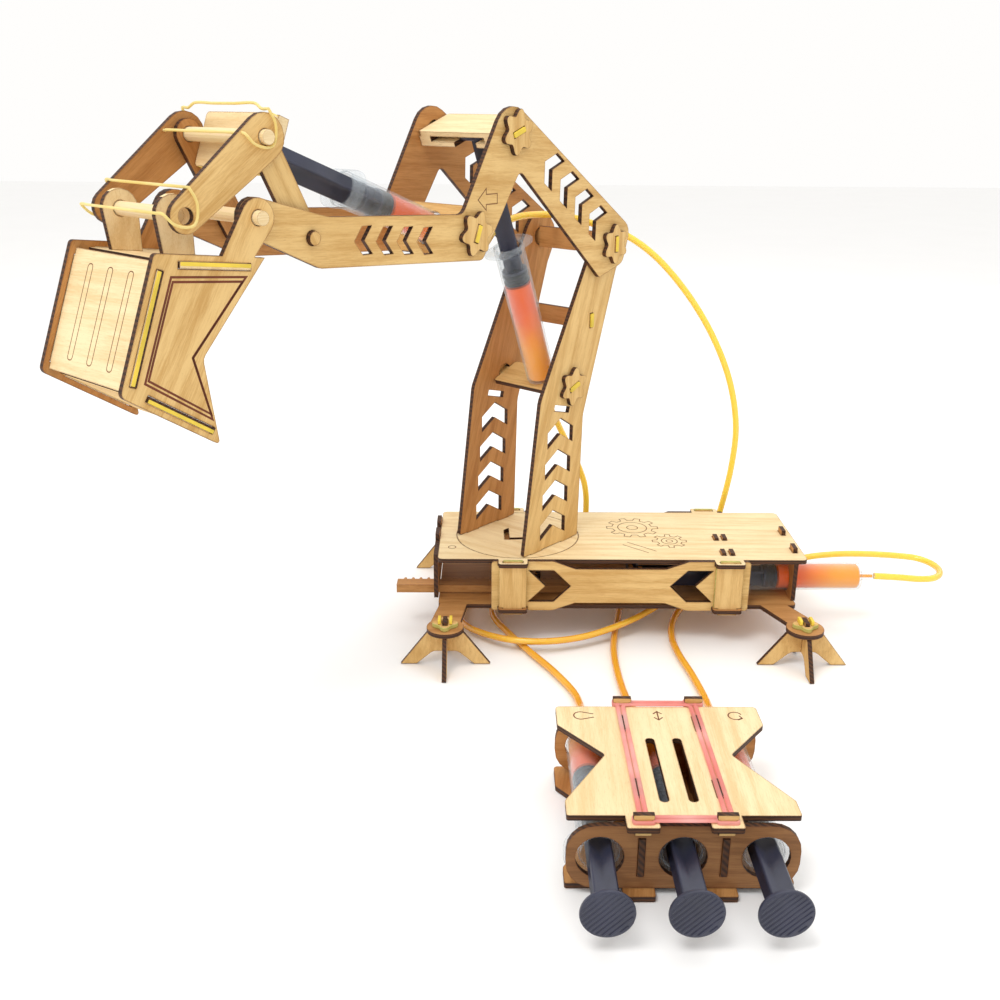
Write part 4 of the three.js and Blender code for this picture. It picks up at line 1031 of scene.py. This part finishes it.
def shrunk(points, share):
    """The points drawn in towards their middle."""
    middle = sum((Vector(point) for point in points), Vector((0, 0))) / len(points)
    return [tuple(middle.lerp(Vector(point), share)) for point in points]


def boom_plane_points(points):
    """(forward, up) points as local ones: with X forward and Z out of the near side, local Y runs down."""
    return [(x, -y) for x, y in points]


engrave("bucket_side_line", [
    (boom_plane_points(SIDE_PANEL), True), (boom_plane_points(shrunk(SIDE_PANEL, 0.93)), True),
], 0.95, side_plane, "bucket", DARK_BURN_LINE)


def wall_tab(label, start, end, trim_start, trim_end, side):
    """Outer half of a wall's tab, where it shows in the side plate's slot, in yellow as a painted highlight of
    sunlit wood.
    """
    start, end = Vector(start), Vector(end)
    way = (end - start).normalized()
    outward = Vector((-way.y, way.x))
    low, high = start + way * trim_start, end - way * trim_end
    middle = (low + high) / 2 - outward * (WALL_INSET - 0.55)
    half = (high - low).length / 2 - 0.3
    where = place(boom(middle.x, side * (SIDE_FACE + 0.9), middle.y), FORWARD * way.x + UP * way.y, NEAR * side)
    outline = rounded(rectangle(-half, -0.75, half, 0.75), 0.3)
    piece = to_object(f"wall_tab_{label}", plate_mesh("tab", [outline], 0.7, where, 0.2), SUNLIT_TAB_YELLOW)
    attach(piece, "bucket")


for wall, (start, end, trim_start, trim_end) in BUCKET_WALLS.items():
    for side, row in ((1, "near"), (-1, "far")):
        wall_tab(f"{wall}_{row}", start, end, trim_start, trim_end, side)

back_top, back_low = (Vector(corner) for corner in BUCKET_WALLS["back"][:2])
back_way = (back_low - back_top).normalized()
back_out = Vector((-back_way.y, back_way.x))
back_face = (back_top + back_low) / 2 + back_out * (PLY / 2 - WALL_INSET)
back_plane = place(boom(back_face.x, 0, back_face.y), NEAR, FORWARD * back_out.x + UP * back_out.y)
ovals = [(rounded(rectangle(y - 1.9, -20, y + 1.9, 20), 1.85, 6), True) for y in (-15.5, 0.0, 15.5)]
engrave("bucket_back_lines", ovals, 0.45, back_plane, "bucket")

cover_plane = place(deck(0, 0, COVER_TOP), (1, 0, 0), (0, 0, 1))
engrave("cover_icons", [
    (arc_line(25.5, -183, 3.2, 60, 300), False), ([(27.1, -180.2), (31.5, -181.6)], False),
    ([(27.1, -185.8), (31.5, -184.4)], False),
    ([(61.2, -186.5), (61.2, -179.5)], False), ([(59.2, -181.5), (61.2, -179.3), (63.2, -181.5)], False),
    ([(59.2, -184.5), (61.2, -186.7), (63.2, -184.5)], False),
    (arc_line(97, -183, 3.2, 20, 320), False), ([(97.6, -186.6), (99.9, -185.2), (98.8, -182.8)], False),
], 0.6, cover_plane, "base", DARK_BURN_LINE)


# ---- rubber bands ----
def band(name, loop, radius, body, material, flat=1.0):
    """A closed band along the given points; `flat` widens it across."""
    section = [(x * flat, y) for x, y in circle(0, 0, radius * MM, 10)]
    piece = to_object(name, swept_mesh(name, loop, section, closed=True), material)
    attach(piece, body)


def over_heads(centre, reach, first, second, crown):
    """A loop hooked on both ends of a dowel, with one strand over the plates' heads and one before them.

    The strands cross the joint in the two given directions, `reach` out from the dowel, or `crown` in the middle.
    """
    opposite = -(first + second).normalized()
    hooked = [(30.7, first * reach), (31.0, first * 6 - second * 3.4), (31.0, -second * 4.1), (31.0, opposite * 4.2),
              (31.0, -first * 4.1), (31.0, second * 6 - first * 3.4), (30.7, second * reach)]
    strand = [(26.0, reach), (22.0, crown), (7.0, crown), (-7.0, crown), (-22.0, crown), (-26.0, reach)]
    loop = [*hooked]
    loop += [(out, second * radius) for out, radius in strand]
    loop += [(-out, offset) for out, offset in reversed(hooked)]
    loop += [(-out, first * radius) for out, radius in strand]
    corners = [centre + (NEAR * out + offset) * MM for out, offset in loop]
    return smooth_path([*corners, corners[0]], 0.0015)[:-1]


upward = (UP - FORWARD * 0.15).normalized()
onward = (FORWARD + UP * 0.15).normalized()
band("band_top", over_heads(pivot("coupler_swing"), 10.8, upward, onward, 12.7), 0.6, "rocker", BAND)
band("band_lug", over_heads(boom(LUG[0], 0, LUG[1]), 10.8, upward, onward, 10.8), 0.6, "coupler", BAND)

HOOK_WOOD = plywood("hook", [(0, 1, 0)], (1, 0, 0), "gold", BURNT, 0.0006)


def hook(label, x, y):
    """Short upright with a notched head that a band catches on, and the band's wrap round its neck."""
    outline = [(-3.3, -6.0), (3.3, -6.0), (3.3, 1.0), (4.2, 1.6), (4.2, 3.6), (-4.2, 3.6), (-4.2, 1.6), (-3.3, 1.0)]
    where = place(deck(x, y, COVER_TOP), (1, 0, 0), (0, -1, 0))
    wrap_place = place(deck(x, y, COVER_TOP + 0.2), (1, 0, 0), (0, 0, 1))
    head = plate_mesh("head", [outline], PLY, where)
    outer = rounded(rectangle(-4.6, -2.6, 4.6, 2.6), 1.6)
    inner = rounded(rectangle(-3.4, -1.4, 3.4, 1.4), 0.6)
    wrap = plate_mesh("wrap", [outer, inner], 2.4, wrap_place, 0.4)
    piece = joined(f"hook_{label}", [(head, HOOK_WOOD), (wrap, PINK_BAND)])
    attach(piece, "base")


for label, (x, y) in HOOKS.items():
    hook(label, x, y)


def controller_band(name, inset, height):
    """A band stretched in a rectangle round the four hooks."""
    left, right, front, rear = 44.6 + inset, 78.6 - inset, -261.0 + inset, -173.4 - inset
    corners = rounded([(left, front), (right, front), (right, rear), (left, rear)], 3.0, 5)
    loop = []
    for k, corner in enumerate(corners):
        after = Vector(corners[(k + 1) % len(corners)])
        here = Vector(corner)
        steps = max(1, round((after - here).length / 8))
        for step in range(steps):
            spot = here.lerp(after, step / steps)
            loop.append(deck(spot.x, spot.y, COVER_TOP + height))
    band(name, loop, 0.55, "base", PINK_BAND, 1.9)


controller_band("band_controller_outer", -1.3, 0.75)
controller_band("band_controller_inner", 1.1, 0.75)
